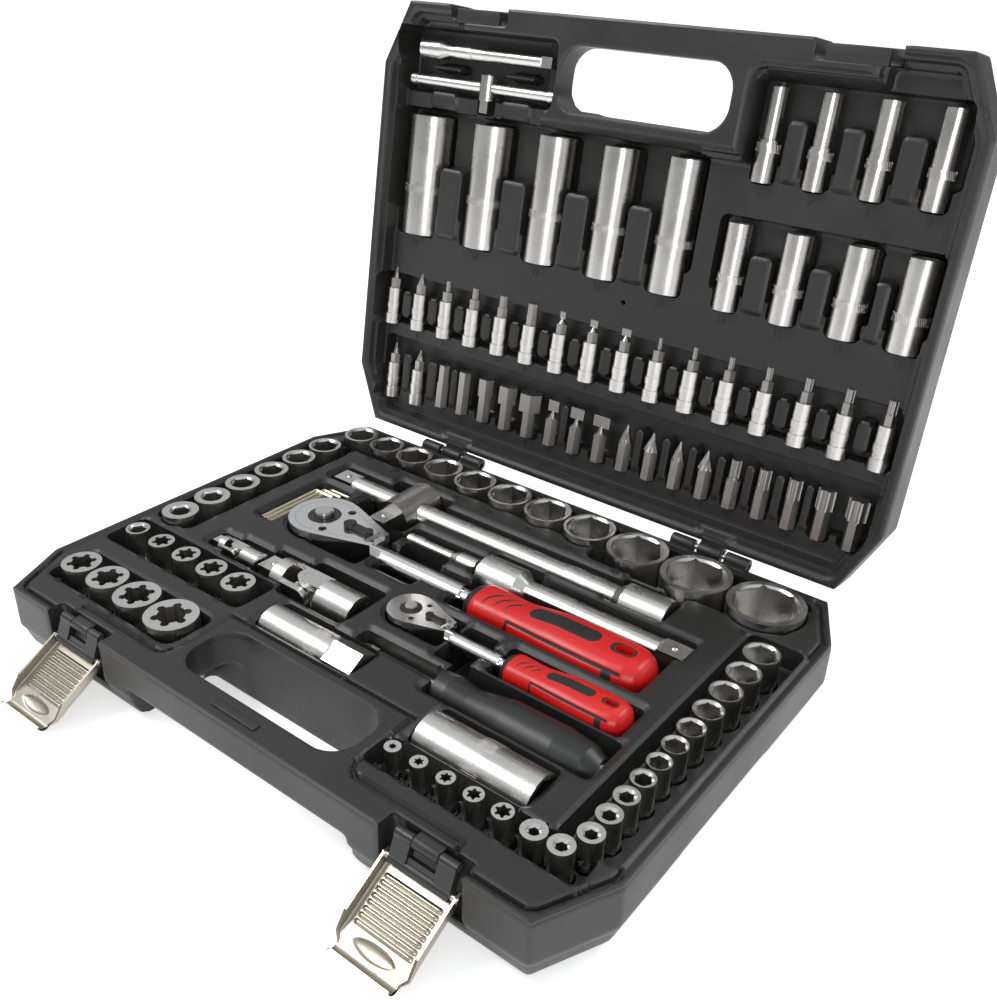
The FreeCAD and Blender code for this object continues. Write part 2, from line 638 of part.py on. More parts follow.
# ---------------------------------------------------------------- tools that lie in the lid
NEAR = "(base_height+7.5)"
DEEP_HALF = [(22, 30, -165), (19, 26, -112), (17, 24, -61.5), (15, 22, -14.5), (14, 22, 30)]
DEEP_SMALL = [(6, 9, 78, -115), (7, 10, 107.5, -115), (8, 11.5, 139, -115), (9, 12.5, 171, -115),
              (10, 14, 71, -43), (11, 15.5, 106, -43), (12, 17, 141, -43), (13, 18, 174, -43)]
DEEP_HALF_Y = -72
BIT_Y = 31
LOW_BIT_Y = 84
LOOSE_Y = 89
BIT_SOCKETS = [("cross", 4.5), ("cross", 6), ("hex", 3), ("hex", 4), ("hex", 5), ("hex", 6), ("blade", 4),
               ("blade", 5.5), ("blade", 6.5), ("star", 2.4), ("star", 2.8), ("star", 3.3), ("star", 3.9),
               ("star", 4.5), ("star", 5), ("star", 5.5)]
LOW_BIT_SOCKETS = [("cross", 4.5), ("cross", 6)]
LOOSE_BITS = [("hex", 7), ("hex", 8), ("hex", 10), ("hex", 12), ("hex", 14), ("blade", 8), ("blade", 10),
              ("blade", 12), ("cross", 8), ("cross", 10), ("cross", 8), ("cross", 10), ("star", 6.7),
              ("star", 7.8), ("star", 8.8), ("star", 11.2), ("star", 13.2)]


def deep_socket(size, across, foot, length, x, y, square):
    """A deep socket lying along Y with its mouth towards the handle."""
    low = ("%s" % x, "%s" % y, "%s+%s" % (NEAR, foot / 2))
    shape = [cylinder(across / 2, length, low, "y")]
    if foot > across:
        shape.append(cylinder(foot / 2, "(%s)*0.45" % length, at(*low, 0, "(%s)*0.55" % length), "y"))
    shape.append(cylinder(foot / 2 + 0.3, 5, at(*low, 0, "(%s)*0.58" % length), "y"))
    hollow = [prism(6, size + 0.2, 15, at(*low, 0, -1), "y"),
              cylinder(size * 0.5 + 0.2, "(%s)-28" % length, at(*low, 0, 13), "y"),
              prism(4, square, 16, at(*low, 0, "(%s)-15" % length), "y", 45)]
    return cut(fuse(*shape), *hollow)


def bit_tip(kind, size, x, y, reach):
    """The working end of a bit: it points at -Y from (x, y)."""
    z = BIT_Z
    if kind == "hex":
        return prism(6, size, reach, at(x, y, z, 0, -reach), "y")
    if kind == "blade":
        thick = max(1.0, size * 0.16)
        return fuse(box(size, reach * 0.6, thick, at(x, y, z, -size / 2, -reach, -thick / 2)),
                    cone(2.6, thick / 2, reach * 0.5, at(x, y, z), "-y"))
    if kind == "cross":
        point = cone(size / 2, 0.6, reach, at(x, y, z), "-y")
        vanes = fuse(box(size, reach, size * 0.26, at(x, y, z, -size / 2, -reach, -size * 0.13)),
                     box(size * 0.26, reach, size, at(x, y, z, -size * 0.13, -reach, -size / 2)))
        return fuse(common(point, vanes), cone(size * 0.36, 0.5, reach * 0.9, at(x, y, z), "-y"))
    lobes = [cylinder(size * 0.37, reach, at(x, y, z), "-y")]
    for step in range(6):
        offset = Rotation(Vector(0, 1, 0), 60 * step).multVec(Vector(size * 0.4, 0, 0))
        lobes.append(cylinder(size * 0.1, reach, at(x, y, z, offset.x, 0, offset.z), "-y"))
    return fuse(*lobes)


BIT_Z = "(%s+6)" % NEAR
BIT_ROWS = [(kind, size, -178 + 23.73 * number, BIT_Y) for number, (kind, size) in enumerate(BIT_SOCKETS)]
BIT_ROWS += [(kind, size, -172 + 23 * number, LOW_BIT_Y) for number, (kind, size) in enumerate(LOW_BIT_SOCKETS)]
LOOSE_ROW = [(kind, size, -126 + 18.75 * number, LOOSE_Y) for number, (kind, size) in enumerate(LOOSE_BITS)]


def lid_tools():
    half = [deep_socket(size, across, across, "deep_half_length", x, DEEP_HALF_Y, "half_square")
            for size, across, x in DEEP_HALF]
    lid_node("deep_half_sockets", group(*half))
    small = [deep_socket(size, across, max(12, across), "deep_quarter_length", x, y, "quarter_square")
             for size, across, x, y in DEEP_SMALL]
    lid_node("deep_quarter_sockets", group(*small))
    bodies = []
    tips = []
    for kind, size, x, y in BIT_ROWS:
        foot = (x, y + 14, BIT_Z)
        body = fuse(cylinder(5.2, 25, foot, "y"), cylinder(5.9, 7, at(*foot, 0, 18), "y"),
                    cylinder(5.6, 4, at(*foot, 0, 10), "y"))
        bodies.append(cut(body, prism(6, 6.35, 9, at(*foot, 0, -1), "y"),
                          prism(4, "quarter_square", 10, at(*foot, 0, 16), "y", 45)))
        tips.append(fuse(bit_tip(kind, size, x, y + 7.5, 7.5), prism(6, 6.35, 14.5, (x, y + 7.5, BIT_Z), "y")))
    lid_node("bit_sockets", group(*bodies))
    lid_node("bit_socket_tips", group(*tips))
    loose = []
    for kind, size, x, y in LOOSE_ROW:
        tip = bit_tip(kind, size, x, y + 12, 12)
        neck = cylinder(3.4, 1.5, (x, y + 11, BIT_Z), "y")
        loose.append(fuse(tip, neck, prism(6, 8, 18, (x, y + 12, BIT_Z), "y")))
    lid_node("loose_bits", group(*loose))


lid_tools()
LID_BAR = ("-171", "-113", "%s+6" % NEAR)
TEE_BAR = ("-178", "-94", "%s+6" % NEAR)
lid_node("quarter_extension_100", extension(True, *LID_BAR, "103", 5.9, "16", "quarter_bar", "quarter_square", "8"))
lid_node("quarter_tee_bar", fuse(cylinder(3.3, 112, at(*TEE_BAR, 1), "x"), cylinder(3.9, 4, at(*TEE_BAR), "x"),
                                 cylinder(3.9, 4, at(*TEE_BAR, 110), "x")))


def tee_slider():
    """The T-bar's small head, with its drive square towards the deep sockets."""
    x, y, z = at(*TEE_BAR, 62)
    barrel = cylinder(5.6, 15, at(x, y, z, 0, -7.5), "y")
    drive = prism(4, "quarter_square", 8, at(x, y, z, 0, 7), "y", 45)
    return cut(fuse(barrel, drive), cylinder(3.5, 20, at(x, y, z, -10), "x"))


lid_node("quarter_tee_slider", tee_slider())


# ---------------------------------------------------------------- latches
LINK_Y = "(-case_depth/2+6.2)"
LINK_Z = "(base_height-4.5)"
LINK_LEAN = 23.2
PANEL_Y = -4.2
PLATE_HANG = 120


def latch(name, x):
    """Link, plate and pins; each is built upright about its own pivot and then swung to its rest place."""
    lean = Rotation(Vector(1, 0, 0), -LINK_LEAN)
    drop = lean.multVec(Vector(0, 0, -SIZES["link_drop"]))
    # the link hangs down from the knuckle in the base
    ears = [cylinder(2.7, 9, (side - 4.5, 0, 0), "x") for side in (-12, 12)]
    ears += [box(9, 4.4, "link_drop", (side - 4.5, -2.2, "-link_drop")) for side in (-12, 12)]
    low = cylinder(2.7, 33, (-16.5, 0, "-link_drop"), "x")
    web = box(33, 2.6, 5, (-16.5, -1.3, "-link_drop"))
    bores = [cylinder("pin_radius+pin_clearance", 50, (-25, 0, 0), "x"),
             cylinder("pin_radius", 50, (-25, 0, "-link_drop"), "x")]
    link = cut(fuse(low, web, *ears), *bores)
    link.Placement.Rotation = lean
    node("latch_link_" + name, place(link, (x, LINK_Y, LINK_Z)))
    plate_pin = cylinder("pin_radius", "plate_width+1", ("-plate_width/2-0.5", 0, "-link_drop"), "x")
    link_pin = cylinder("pin_radius", 33, (-16.5, 0, 0), "x")
    plate_pin.Placement.Rotation = lean.multiply(TURN["x"])
    place(plate_pin, ("(%s)-plate_width/2-0.5" % x, "%s+(%.4f)" % (LINK_Y, drop.y), "%s+(%.4f)" % (LINK_Z, drop.z)))
    node("latch_plate_pin_" + name, plate_pin)
    place(link_pin, ("(%s)-16.5" % x, LINK_Y, LINK_Z))
    # the pressed plate: panel, side walls with ears round the pin, ribs and the hooked end
    gauge = "plate_gauge"
    panel = box("plate_width", gauge, "plate_length+3", ("-plate_width/2", PANEL_Y, -3))
    walls = [box(gauge, 6.8, "plate_length+3", (side, PANEL_Y, -3))
             for side in ("-plate_width/2", "plate_width/2-plate_gauge")]
    hook = box("plate_width-8", 6.2, gauge, ("-plate_width/2+4", PANEL_Y, "plate_length-plate_gauge"))
    lip = box("plate_width-8", gauge, 3.2, ("-plate_width/2+4", PANEL_Y + 5, "plate_length-3.2"))
    ribs = [box("plate_width-9", 0.9, 1.6, ("-plate_width/2+4.5", "%s+plate_gauge-0.1" % PANEL_Y, 6 + 3.1 * step))
            for step in range(8)]
    bore = cylinder("pin_radius+pin_clearance", 60, (-30, 0, 0), "x")
    plate = cut(fuse(panel, hook, lip, *walls, *ribs), bore)
    plate.Placement.Rotation = Rotation(Vector(1, 0, 0), PLATE_HANG)
    node("latch_plate_" + name, place(plate, (x, "%s+(%.4f)" % (LINK_Y, drop.y), "%s+(%.4f)" % (LINK_Z, drop.z))))
    return link_pin


node("latch_link_pins", group(latch("left", "-latch_x"), latch("right", "latch_x")))


# ---------------------------------------------------------------- hinge
def knuckle(x, half, bore):
    """One knuckle with its root: `half` is 1 for the lid's (above the rim) and -1 for the base's."""
    root_z = HINGE_Z if half > 0 else "%s-6" % HINGE_Z
    root = box("knuckle_length", "hinge_offset+4", 6,
               ("(%s)-knuckle_length/2" % x, "case_depth/2-4", root_z))
    barrel = cylinder("hinge_radius", "knuckle_length", ("(%s)-knuckle_length/2" % x, HINGE_Y, HINGE_Z), "x")
    return fuse(root, barrel), cylinder(bore, "knuckle_length+2", ("(%s)-knuckle_length/2-1" % x, HINGE_Y, HINGE_Z),
                                        "x")


def knuckles(half, offsets, bore):
    solids = []
    bores = []
    for side in (-1, 1):
        for offset in offsets:
            solid, hole = knuckle("%s*hinge_x+(%s)" % (side, offset), half, bore)
            solids.append(solid)
            bores.append(hole)
    return solids, bores


KNUCKLE_STEP = "(knuckle_length+knuckle_gap)"
for side_name, side in (("left", -1), ("right", 1)):
    node("hinge_pin_" + side_name,
         cylinder("pin_radius", "3*knuckle_length+2*knuckle_gap", ("%s*hinge_x-1.5*knuckle_length-knuckle_gap" % side,
                                                                   HINGE_Y, HINGE_Z), "x"))


# ---------------------------------------------------------------- the two blow-moulded halves
def grown_box(x0, x1, y0, y1, z0, z1, extra):
    """A box between limits, larger by `extra` on every side."""
    grow = "2*(%s)" % extra
    return box("(%s)-(%s)+%s" % (x1, x0, grow), "(%s)-(%s)+%s" % (y1, y0, grow), "(%s)-(%s)+%s" % (z1, z0, grow),
               ("(%s)-(%s)" % (x0, extra), "(%s)-(%s)" % (y0, extra), "(%s)-(%s)" % (z0, extra)))


def around(tool, before, after, half_width, drop, extra, lift=0):
    """The trench of a lying tool: from `before` to `after` along X, open at the top."""
    x, y, z = tool
    gap = "tool_clearance"
    return grown_box("(%s)+(%s)-%s" % (x, before, gap), "(%s)+(%s)+%s" % (x, after, gap),
                     "(%s)-(%s)-%s" % (y, half_width, gap), "(%s)+(%s)+%s" % (y, half_width, gap),
                     "(%s)-(%s)-%s-%s" % (z, drop, gap, lift), "base_height+2", extra)


def well(radius, x, y, floor, extra):
    return cylinder("(%s)+(%s)" % (radius, extra), "base_height+2-(%s)+2*(%s)" % (floor, extra),
                    (x, y, "(%s)-(%s)" % (floor, extra)))


def standing_wells(extra):
    """A round cup for every upright tool, and a channel that joins each to the next of its row."""
    cups = []
    last = None
    for family, size, across, x, y in STANDING:
        radius = footprint(family, across) / 2
        floor = "%s-0.3" % floor_of(family)
        cups.append(well("%s+socket_clearance" % radius, x, y, floor, extra))
        if last and last[0] == family and family in ("back", "side", "small"):
            if family == "back":
                limits = (x, last[1], "(%s)-4" % y, "(%s)+4" % y)
            elif family == "side":
                limits = ("(%s)-4" % x, "(%s)+4" % x, y, last[2])
            else:
                limits = ("(%s)-2.5" % x, "(%s)+2.5" % x, last[2], y)
            if not (family == "small" and size in (4, 4.5)):
                cups.append(grown_box(*limits, floor, "base_height+2", extra))
        last = (family, x, y)
    return cups


# the sunk floors that the upright sockets stand in: two corners and how far below the rim
SUNK_FLOORS = [("-case_width/2+7", "-156", -39, "case_depth/2-40", 22),
               ("-case_width/2+12", "-156", "case_depth/2-42", "case_depth/2-30", 22),
               ("-case_width/2+22.5", 46, 105, "case_depth/2-7.5", 20),
               (44, "case_width/2-23", 93, "case_depth/2-7.5", 20),
               ("-case_width/2+17", -69, -119, -88, 12),
               ("-case_width/2+7", -68, -75, -46, 20),
               (63, "case_width/2-14.5", -115, -95.5, 14),
               (156, "case_width/2-7", -97, 86, 14)]


def base_pockets(extra):
    half, small = HALF_RATCHET, QUARTER_RATCHET
    pockets = standing_wells(extra)
    for x0, x1, y0, y1, depth in SUNK_FLOORS:
        pockets.append(grown_box(x0, x1, y0, y1, "base_height-%s" % depth, "base_height+2", extra))
    pockets += [
        around(LONG_BAR, 0, 254, 8.4, 8.4, extra),
        around(LONG_BAR, 219, 254, 12, 12, extra),
        around((TEE_X, LONG_BAR[1], LONG_BAR[2]), -22, 22, 0, 13, extra),
        grown_box("%s-23.2" % TEE_X, "%s+23.2" % TEE_X, "%s-32" % LONG_BAR[1], "%s+18" % LONG_BAR[1],
                  "%s-14.2" % LONG_BAR[2], "base_height+2", extra),
        around(SHORT_BAR, 0, 134, 8.4, 8.4, extra),
        around(SHORT_BAR, 0, 33, 12.5, 12.5, extra),
        around(SMALL_BAR, -3, 50, 5.9, 5.9, extra),
        well("22+tool_clearance", half[0], half[1], "%s-13-tool_clearance" % half[2], extra),
        well("11", half[0], half[1], "%s-29.6" % half[2], extra),
        around(half, 8, 46, 21, 13, extra),
        around(half, 40, 110, 7.5, 7.5, extra),
        around(half, 110, "110+grip_length", "grip_width/2", "grip_width*0.41", extra),
        well("13.2+tool_clearance", small[0], small[1], "%s-7.8-tool_clearance" % small[2], extra),
        well("7", small[0], small[1], "%s-18" % small[2], extra),
        around(small, 5, 28, 12, 7.8, extra),
        around(small, 24, 61, 4.5, 4.5, extra),
        around(small, 61, "61+small_grip_length", "small_grip_width/2", "small_grip_width*0.41", extra),
        around(SPINNER, -2, 52, 3.9, 3.9, extra),
        around(SPINNER, 52, 148.5, 14, 14, extra),
        around(PLUG_21, 0, 66, 13.4, 13.4, extra),
        around(PLUG_16, 0, 68, 11.2, 12.1, extra),
        around(HALF_JOINT, -36, 14, 12, 12, extra),
        around(HALF_JOINT, -8, 41.8, 17.6, 13.6, extra),
        around(QUARTER_JOINT, -18.7, 8, 6.3, 6.3, extra),
        around(QUARTER_JOINT, -4, 21.4, 9.2, 7.2, extra),
        around(KEYS, -1.4, 9, 0, 1.7, extra),
        grown_box("%s-3" % KEYS[0], "%s+11" % KEYS[0], "%s-1.5" % KEYS[1], "%s+55.5" % KEYS[1], "%s-3" % KEYS[2],
                  "base_height+2", extra),
        grown_box("%s-3" % KEYS[0], "%s+24" % KEYS[0], "%s+43.5" % KEYS[1], "%s+56.5" % KEYS[1], "%s-3" % KEYS[2],
                  "base_height+2", extra),
        # finger room across the necks
        grown_box(-46, -14, 4, 40, "base_height-26", "base_height+2", extra),
        grown_box(37, 58, -36, -5, "base_height-24", "base_height+2", extra),
    ]
    return pockets


def lid_pocket(x0, x1, y0, y1, depth, extra):
    """A pocket of the lid's tray, `depth` above the rim plane."""
    return grown_box(x0, x1, y0, y1, "base_height-2", "base_height+(%s)" % depth, extra)


def lid_pockets(extra):
    gap = "tool_clearance"
    pockets = []
    for size, across, x in DEEP_HALF:
        reach = across / 2
        pockets.append(lid_pocket("%s-%s-%s" % (x, reach + 0.3, gap), "%s+%s+%s" % (x, reach + 0.3, gap),
                                  "%s-%s" % (DEEP_HALF_Y, gap), "%s+deep_half_length+%s" % (DEEP_HALF_Y, gap),
                                  "8.1+%s" % across, extra))
    for size, across, x, y in DEEP_SMALL:
        reach = max(12, across) / 2 + 0.3
        pockets.append(lid_pocket("%s-%s-%s" % (x, reach, gap), "%s+%s+%s" % (x, reach, gap), "%s-%s" % (y, gap),
                                  "%s+deep_quarter_length+%s" % (y, gap), "8.6+%s" % (2 * reach), extra))
    for kind, size, x, y in BIT_ROWS:
        pockets.append(lid_pocket(x - 6.9, x + 6.9, y + 12.5, y + 40.2, 20.6, extra))
    for kind, size, x, y in LOOSE_ROW:
        pockets.append(lid_pocket(x - 5.6, x + 5.6, y + 10, y + 31.2, 19, extra))
    pockets += [
        lid_pocket(-183, 186, BIT_Y - 3, BIT_Y + 19, 22, extra),
        lid_pocket(-180, 184, LOW_BIT_Y - 4, LOW_BIT_Y + 20, 22, extra),
        lid_pocket(-182, 45, DEEP_HALF_Y - 1, DEEP_HALF_Y + 14, 22, extra),
        lid_pocket(-172.5, -66, "-119.2-tool_clearance", "-106.8+tool_clearance", 20.8, extra),
        lid_pocket("-179.5", "-62.5", "-99.4", "-88.6", 19, extra),
        lid_pocket("-126", "-106", "-103", "-76", 20.5, extra),
    ]
    return pockets


def rounded_slot(extra, low, height):
    """The finger opening behind the handle bar."""
    radius = 15
    half = "handle_span/2"
    front = "-case_depth/2+handle_bar"
    back = "-case_depth/2+handle_bar+handle_gap"
    wide = box("handle_span+2*(%s)" % extra, "handle_gap-2*%s" % radius, height,
               ("-(%s)-(%s)" % (half, extra), "%s+%s" % (front, radius), low))
    deep = box("handle_span-2*%s" % radius, "handle_gap+2*(%s)" % extra, height,
               ("-(%s)+%s" % (half, radius), "(%s)-(%s)" % (front, extra), low))
    corners = [cylinder("%s+(%s)" % (radius, extra), height,
                        ("%s*((%s)-%s)" % (side, half, radius), "(%s)+%s" % (edge, sign * radius), low))
               for side in (-1, 1) for edge, sign in ((front, 1), (back, -1))]
    return fuse(wide, deep, *corners)


UNDER_BAR = ("-handle_span/2-21", "handle_span/2+21", "-case_depth/2-5", "-case_depth/2+handle_bar+handle_gap-1")


def notch(x, low, high, depth, extra):
    """A latch recess in the front of a half."""
    return grown_box("(%s)-latch_notch/2" % x, "(%s)+latch_notch/2" % x, "-case_depth/2-5",
                     "-case_depth/2+(%s)" % depth, low, high, extra)


def base_hollows(extra):
    """All that is cut from the base's outside, its handle and its tray, larger by `extra`."""
    hollows = base_pockets(extra)
    hollows.append(rounded_slot(extra, -5, "base_height+10"))
    hollows.append(grown_box(*UNDER_BAR, -5, "base_height-handle_thickness", extra))
    for side in (-1, 1):
        hollows.append(notch("%s*latch_x" % side, "base_height-30", "base_height+5", "latch_notch_depth", extra))
        x0, x1 = ("case_width/2-foot_inset", "case_width/2+5") if side > 0 else ("-case_width/2-5",
                                                                                 "-case_width/2+foot_inset")
        hollows.append(grown_box(x0, x1, -52, 42, -5, "base_height-belt_height", extra))
    return hollows


def shell(bottom_inset, low, belt, high, extra):
    """A case half's outside: a belt on the full outline and a part that narrows to its flat face."""
    if bottom_inset == "low":
        return fuse(outline(octagon(extra), belt, "(%s)-(%s)" % (high, belt)),
                    loft(octagon("foot_inset+1+(%s)" % extra), low, octagon("1+(%s)" % extra), belt))
    return fuse(outline(octagon(extra), low, "(%s)-(%s)" % (belt, low)),
                loft(octagon("1+(%s)" % extra), belt, octagon("foot_inset+1+(%s)" % extra), high))


def case_base():
    outside = shell("low", 0, "base_height-belt_height", "base_height", 0)
    groove = cut(outline(tray_edge("groove_width"), "base_height-groove_depth", "groove_depth+1"),
                 outline(tray_edge(0), "base_height-groove_depth-1", "groove_depth+3"))
    core = shell("low", "wall", "base_height-belt_height", "base_height-groove_depth-wall", "wall")
    core = cut(core, *base_hollows("wall"))
    vent = cylinder(1.6, 8, (20, 60, -2))
    joints, bores = knuckles(-1, ("-(%s)" % KNUCKLE_STEP, KNUCKLE_STEP), "pin_radius")
    mark = fuse(box(24, 5, 2, (-12, "-case_depth/2+handle_bar/2-2.5", "base_height-0.6")),
                cylinder(2.5, 2, (-12, "-case_depth/2+handle_bar/2", "base_height-0.6")),
                cylinder(2.5, 2, (12, "-case_depth/2+handle_bar/2", "base_height-0.6")))
    body = cut(outside, groove, core, vent, *base_hollows(0))
    latch_seats = []
    for side in (-1, 1):
        x = "%s*latch_x" % side
        latch_seats.append(cylinder(3, 14, ("(%s)-7" % x, LINK_Y, LINK_Z), "x"))
        latch_seats.append(box(14, "latch_notch_depth-6.2+1", 6, ("(%s)-7" % x, LINK_Y, "%s-3" % LINK_Z)))
        bores.append(cylinder("pin_radius", 20, ("(%s)-10" % x, LINK_Y, LINK_Z), "x"))
    node("case_base", cut(fuse(body, mark, *joints, *latch_seats), *bores))


def case_lid():
    rim = "base_height+lid_gap"
    top = "base_height+lid_height"
    belt = "base_height+belt_height"
    outside = shell("high", rim, belt, top, 0)
    core = shell("high", "%s+wall" % rim, belt, "%s-wall" % top, "wall")

    def hollows(extra):
        found = lid_pockets(extra)
        tray = outline(tray_edge("-(%s)" % extra if extra else 0), "base_height-2", "lid_recess+2+(%s)" % extra)
        found.append(tray)
        found.append(rounded_slot(extra, "base_height-5", "lid_height+10"))
        found.append(grown_box(*UNDER_BAR, "base_height+handle_thickness", "%s+5" % top, extra))
        for side in (-1, 1):
            x = "%s*latch_x" % side
            found.append(notch(x, "base_height-5", "base_height+ledge_height+8", 2.2, extra))
            found.append(notch(x, "base_height+ledge_height", "base_height+ledge_height+8",
                               "latch_notch_depth", extra))
            for edge in (-1, 1):
                near = "(%s)+%s*(latch_notch/2-6)" % (x, edge)
                far = "(%s)+%s*latch_notch/2" % (x, edge)
                x0, x1 = (near, far) if edge > 0 else (far, near)
                found.append(grown_box(x0, x1, "-case_depth/2-5", "-case_depth/2+latch_notch_depth",
                                       "base_height-5", "base_height+ledge_height+8", extra))
        return found

    hollow = cut(core, *hollows("wall"))
    vent = cylinder(1.7, 8, (6, 16, "base_height+lid_recess-2"))
    mark = fuse(box(24, 5, 3, (-12, "-case_depth/2+handle_bar/2-2.5", "base_height-1")),
                cylinder(2.5, 3, (-12, "-case_depth/2+handle_bar/2", "base_height-1")),
                cylinder(2.5, 3, (12, "-case_depth/2+handle_bar/2", "base_height-1")))
    joints, bores = knuckles(1, (0,), "pin_radius+pin_clearance")
    body = cut(outside, hollow, vent, mark, *hollows(0))
    lid_node("case_lid", cut(fuse(body, *joints), *bores))


case_base()
case_lid()


# ---------------------------------------------------------------- checks and files
doc.recompute()
for thing in doc.Objects:
    if "Invalid" in thing.State or "Error" in thing.State:
        raise RuntimeError("%s (%s) failed: %s" % (thing.Name, thing.Label, thing.State))
for name, thing in PARTS.items():
    if thing.Shape.isNull() or not thing.Shape.isValid():
        raise RuntimeError("%s has no valid shape" % name)
if len(PARTS) > 60:
    raise RuntimeError("too many nodes")
os.makedirs("parts", exist_ok=True)
for name, thing in PARTS.items():
    thing.Shape.exportStep("parts/%s.step" % name)
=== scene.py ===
import json
import math

import bmesh
import bpy
import numpy as np
from mathutils import Matrix, Vector


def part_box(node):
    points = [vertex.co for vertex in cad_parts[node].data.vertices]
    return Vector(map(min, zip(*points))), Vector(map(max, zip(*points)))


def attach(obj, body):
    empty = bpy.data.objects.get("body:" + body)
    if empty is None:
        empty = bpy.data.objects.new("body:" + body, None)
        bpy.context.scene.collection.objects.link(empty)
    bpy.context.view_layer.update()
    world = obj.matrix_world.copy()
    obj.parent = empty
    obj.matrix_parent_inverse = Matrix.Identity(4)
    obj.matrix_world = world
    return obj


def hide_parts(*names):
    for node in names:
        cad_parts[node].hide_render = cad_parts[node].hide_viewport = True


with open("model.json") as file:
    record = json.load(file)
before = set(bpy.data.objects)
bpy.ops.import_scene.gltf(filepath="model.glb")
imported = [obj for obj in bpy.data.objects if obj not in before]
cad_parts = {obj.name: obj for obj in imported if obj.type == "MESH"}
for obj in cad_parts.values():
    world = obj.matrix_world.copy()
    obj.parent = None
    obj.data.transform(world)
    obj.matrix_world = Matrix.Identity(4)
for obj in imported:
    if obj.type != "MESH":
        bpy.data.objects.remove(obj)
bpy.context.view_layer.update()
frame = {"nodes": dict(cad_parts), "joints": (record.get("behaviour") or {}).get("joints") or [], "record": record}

# ---------------------------------------------------------------- lower case half
# The lower half is blow-moulded in black polyethylene: a smooth belt round the rim, a grained part below it,
# and a tray whose pockets follow each tool, with chamfered lands left standing between them.
WIDTH = 388.0
DEPTH = 280.0
RIM = 42.0
CORNER = (18.0, 38.0)
CELL = 1.2
BELT = 25.0
SKIRT = 2.6
LATCH_X = 120.0
NOTCH = (45.0, 10.0)
HINGE_X = 100.0
KNUCKLE = (15.0, 18.0, 4.0)
BASE_BLACK = (0.0105, 0.0100, 0.0096)
BASE_GREY = (0.0190, 0.0180, 0.0170)
BASE_TRENCHES = [
    (-143.2, 113.2, 67.4, 86.6, 23.4), (75.8, 113.2, 63.8, 90.2, 19.8), (-103.2, -56.8, 45.0, 95.0, 18.8),
    (2.8, 139.2, 40.4, 59.6, 22.4), (2.8, 38.2, 36.3, 63.7, 18.3), (-54.2, 1.2, 40.9, 55.1, 27.9),
    (-93.2, -52.8, -0.2, 44.2, 18.8), (-61.2, 11.2, 13.3, 30.7, 24.3), (8.8, 135.2, 3.8, 40.2, 17.9),
    (9.8, 35.2, -30.2, -3.8, 28.0), (28.8, 68.2, -22.7, -11.3, 31.3), (65.8, 145.2, -29.7, -4.3, 26.4),
    (-3.2, 53.2, -51.6, -41.4, 24.9), (50.8, 149.7, -61.7, -31.3, 14.8), (69.8, 138.2, -92.6, -63.4, 17.4),
    (-53.2, 17.2, -76.4, -51.6, 19.7), (-97.2, -44.8, -42.2, -15.8, 19.8), (-69.2, -17.0, -47.8, -10.2, 18.2),
    (-137.9, -108.8, -39.0, -24.0, 29.5), (-123.2, -95.4, -41.9, -21.1, 28.6), (-140.0, -126.0, 2.5, 59.5, 35.0),
    (-140.0, -113.0, 47.5, 60.5, 35.0), (-46.0, -14.0, 4.0, 40.0, 16.0), (37.0, 58.0, -36.0, -5.0, 18.0),
]
SUNK_FLOORS = [(-187, -156, -39, 100, 22), (-182, -156, 98, 110, 22), (-171.5, 46, 105, 132.5, 20),
               (44, 171, 93, 132.5, 20), (-177, -69, -119, -88, 12), (-187, -68, -75, -46, 20),
               (63, 179.5, -115, -95.5, 14), (156, 187, -97, 86, 14)]
BASE_WELLS = [(-100.0, 22.0, 23.2, 18.8), (-100.0, 22.0, 11.0, 3.4), (6.0, -17.0, 14.4, 28.0),
              (6.0, -17.0, 7.0, 19.0)]


def octagon(inset):
    """The case outline with its clipped corners, drawn in by `inset`, in mm."""
    across, along = CORNER
    length = math.hypot(across, along)
    side = WIDTH / 2 - inset
    end = DEPTH / 2 - inset
    side_corner = DEPTH / 2 - along - inset * (length - along) / across
    end_corner = WIDTH / 2 - across - inset * (length - across) / along
    quarter = [(side, side_corner), (end_corner, end)]
    return (quarter + [(-x, y) for x, y in reversed(quarter)] + [(-x, -y) for x, y in quarter]
            + [(x, -y) for x, y in reversed(quarter)])


def tray_edge(grow):
    """The inner edge of the rim, which steps back behind the latches and the handle."""
    ring = octagon(6 - grow)
    handle_side = 57 + 9 - grow
    handle_back = -DEPTH / 2 + 16 + 37 + 8 - grow
    latch_back = -DEPTH / 2 + NOTCH[1] + 6 - grow
    latch_side = LATCH_X + NOTCH[0] / 2 + 4 + grow
    front = -DEPTH / 2 + 6 - grow
    left = [(latch_side, front), (latch_side, latch_back), (handle_side, latch_back), (handle_side, handle_back)]
    right = [(-x, y) for x, y in left]
    return ring[:6] + right + left[::-1] + ring[6:]


def box_distance(x, y, limits, radius):
    x0, x1, y0, y1 = limits
    radius = min(radius, (x1 - x0) / 2 - 0.05, (y1 - y0) / 2 - 0.05)
    qx = np.abs(x - (x0 + x1) / 2) - (x1 - x0) / 2 + radius
    qy = np.abs(y - (y0 + y1) / 2) - (y1 - y0) / 2 + radius
    return np.hypot(np.maximum(qx, 0), np.maximum(qy, 0)) + np.minimum(np.maximum(qx, qy), 0) - radius


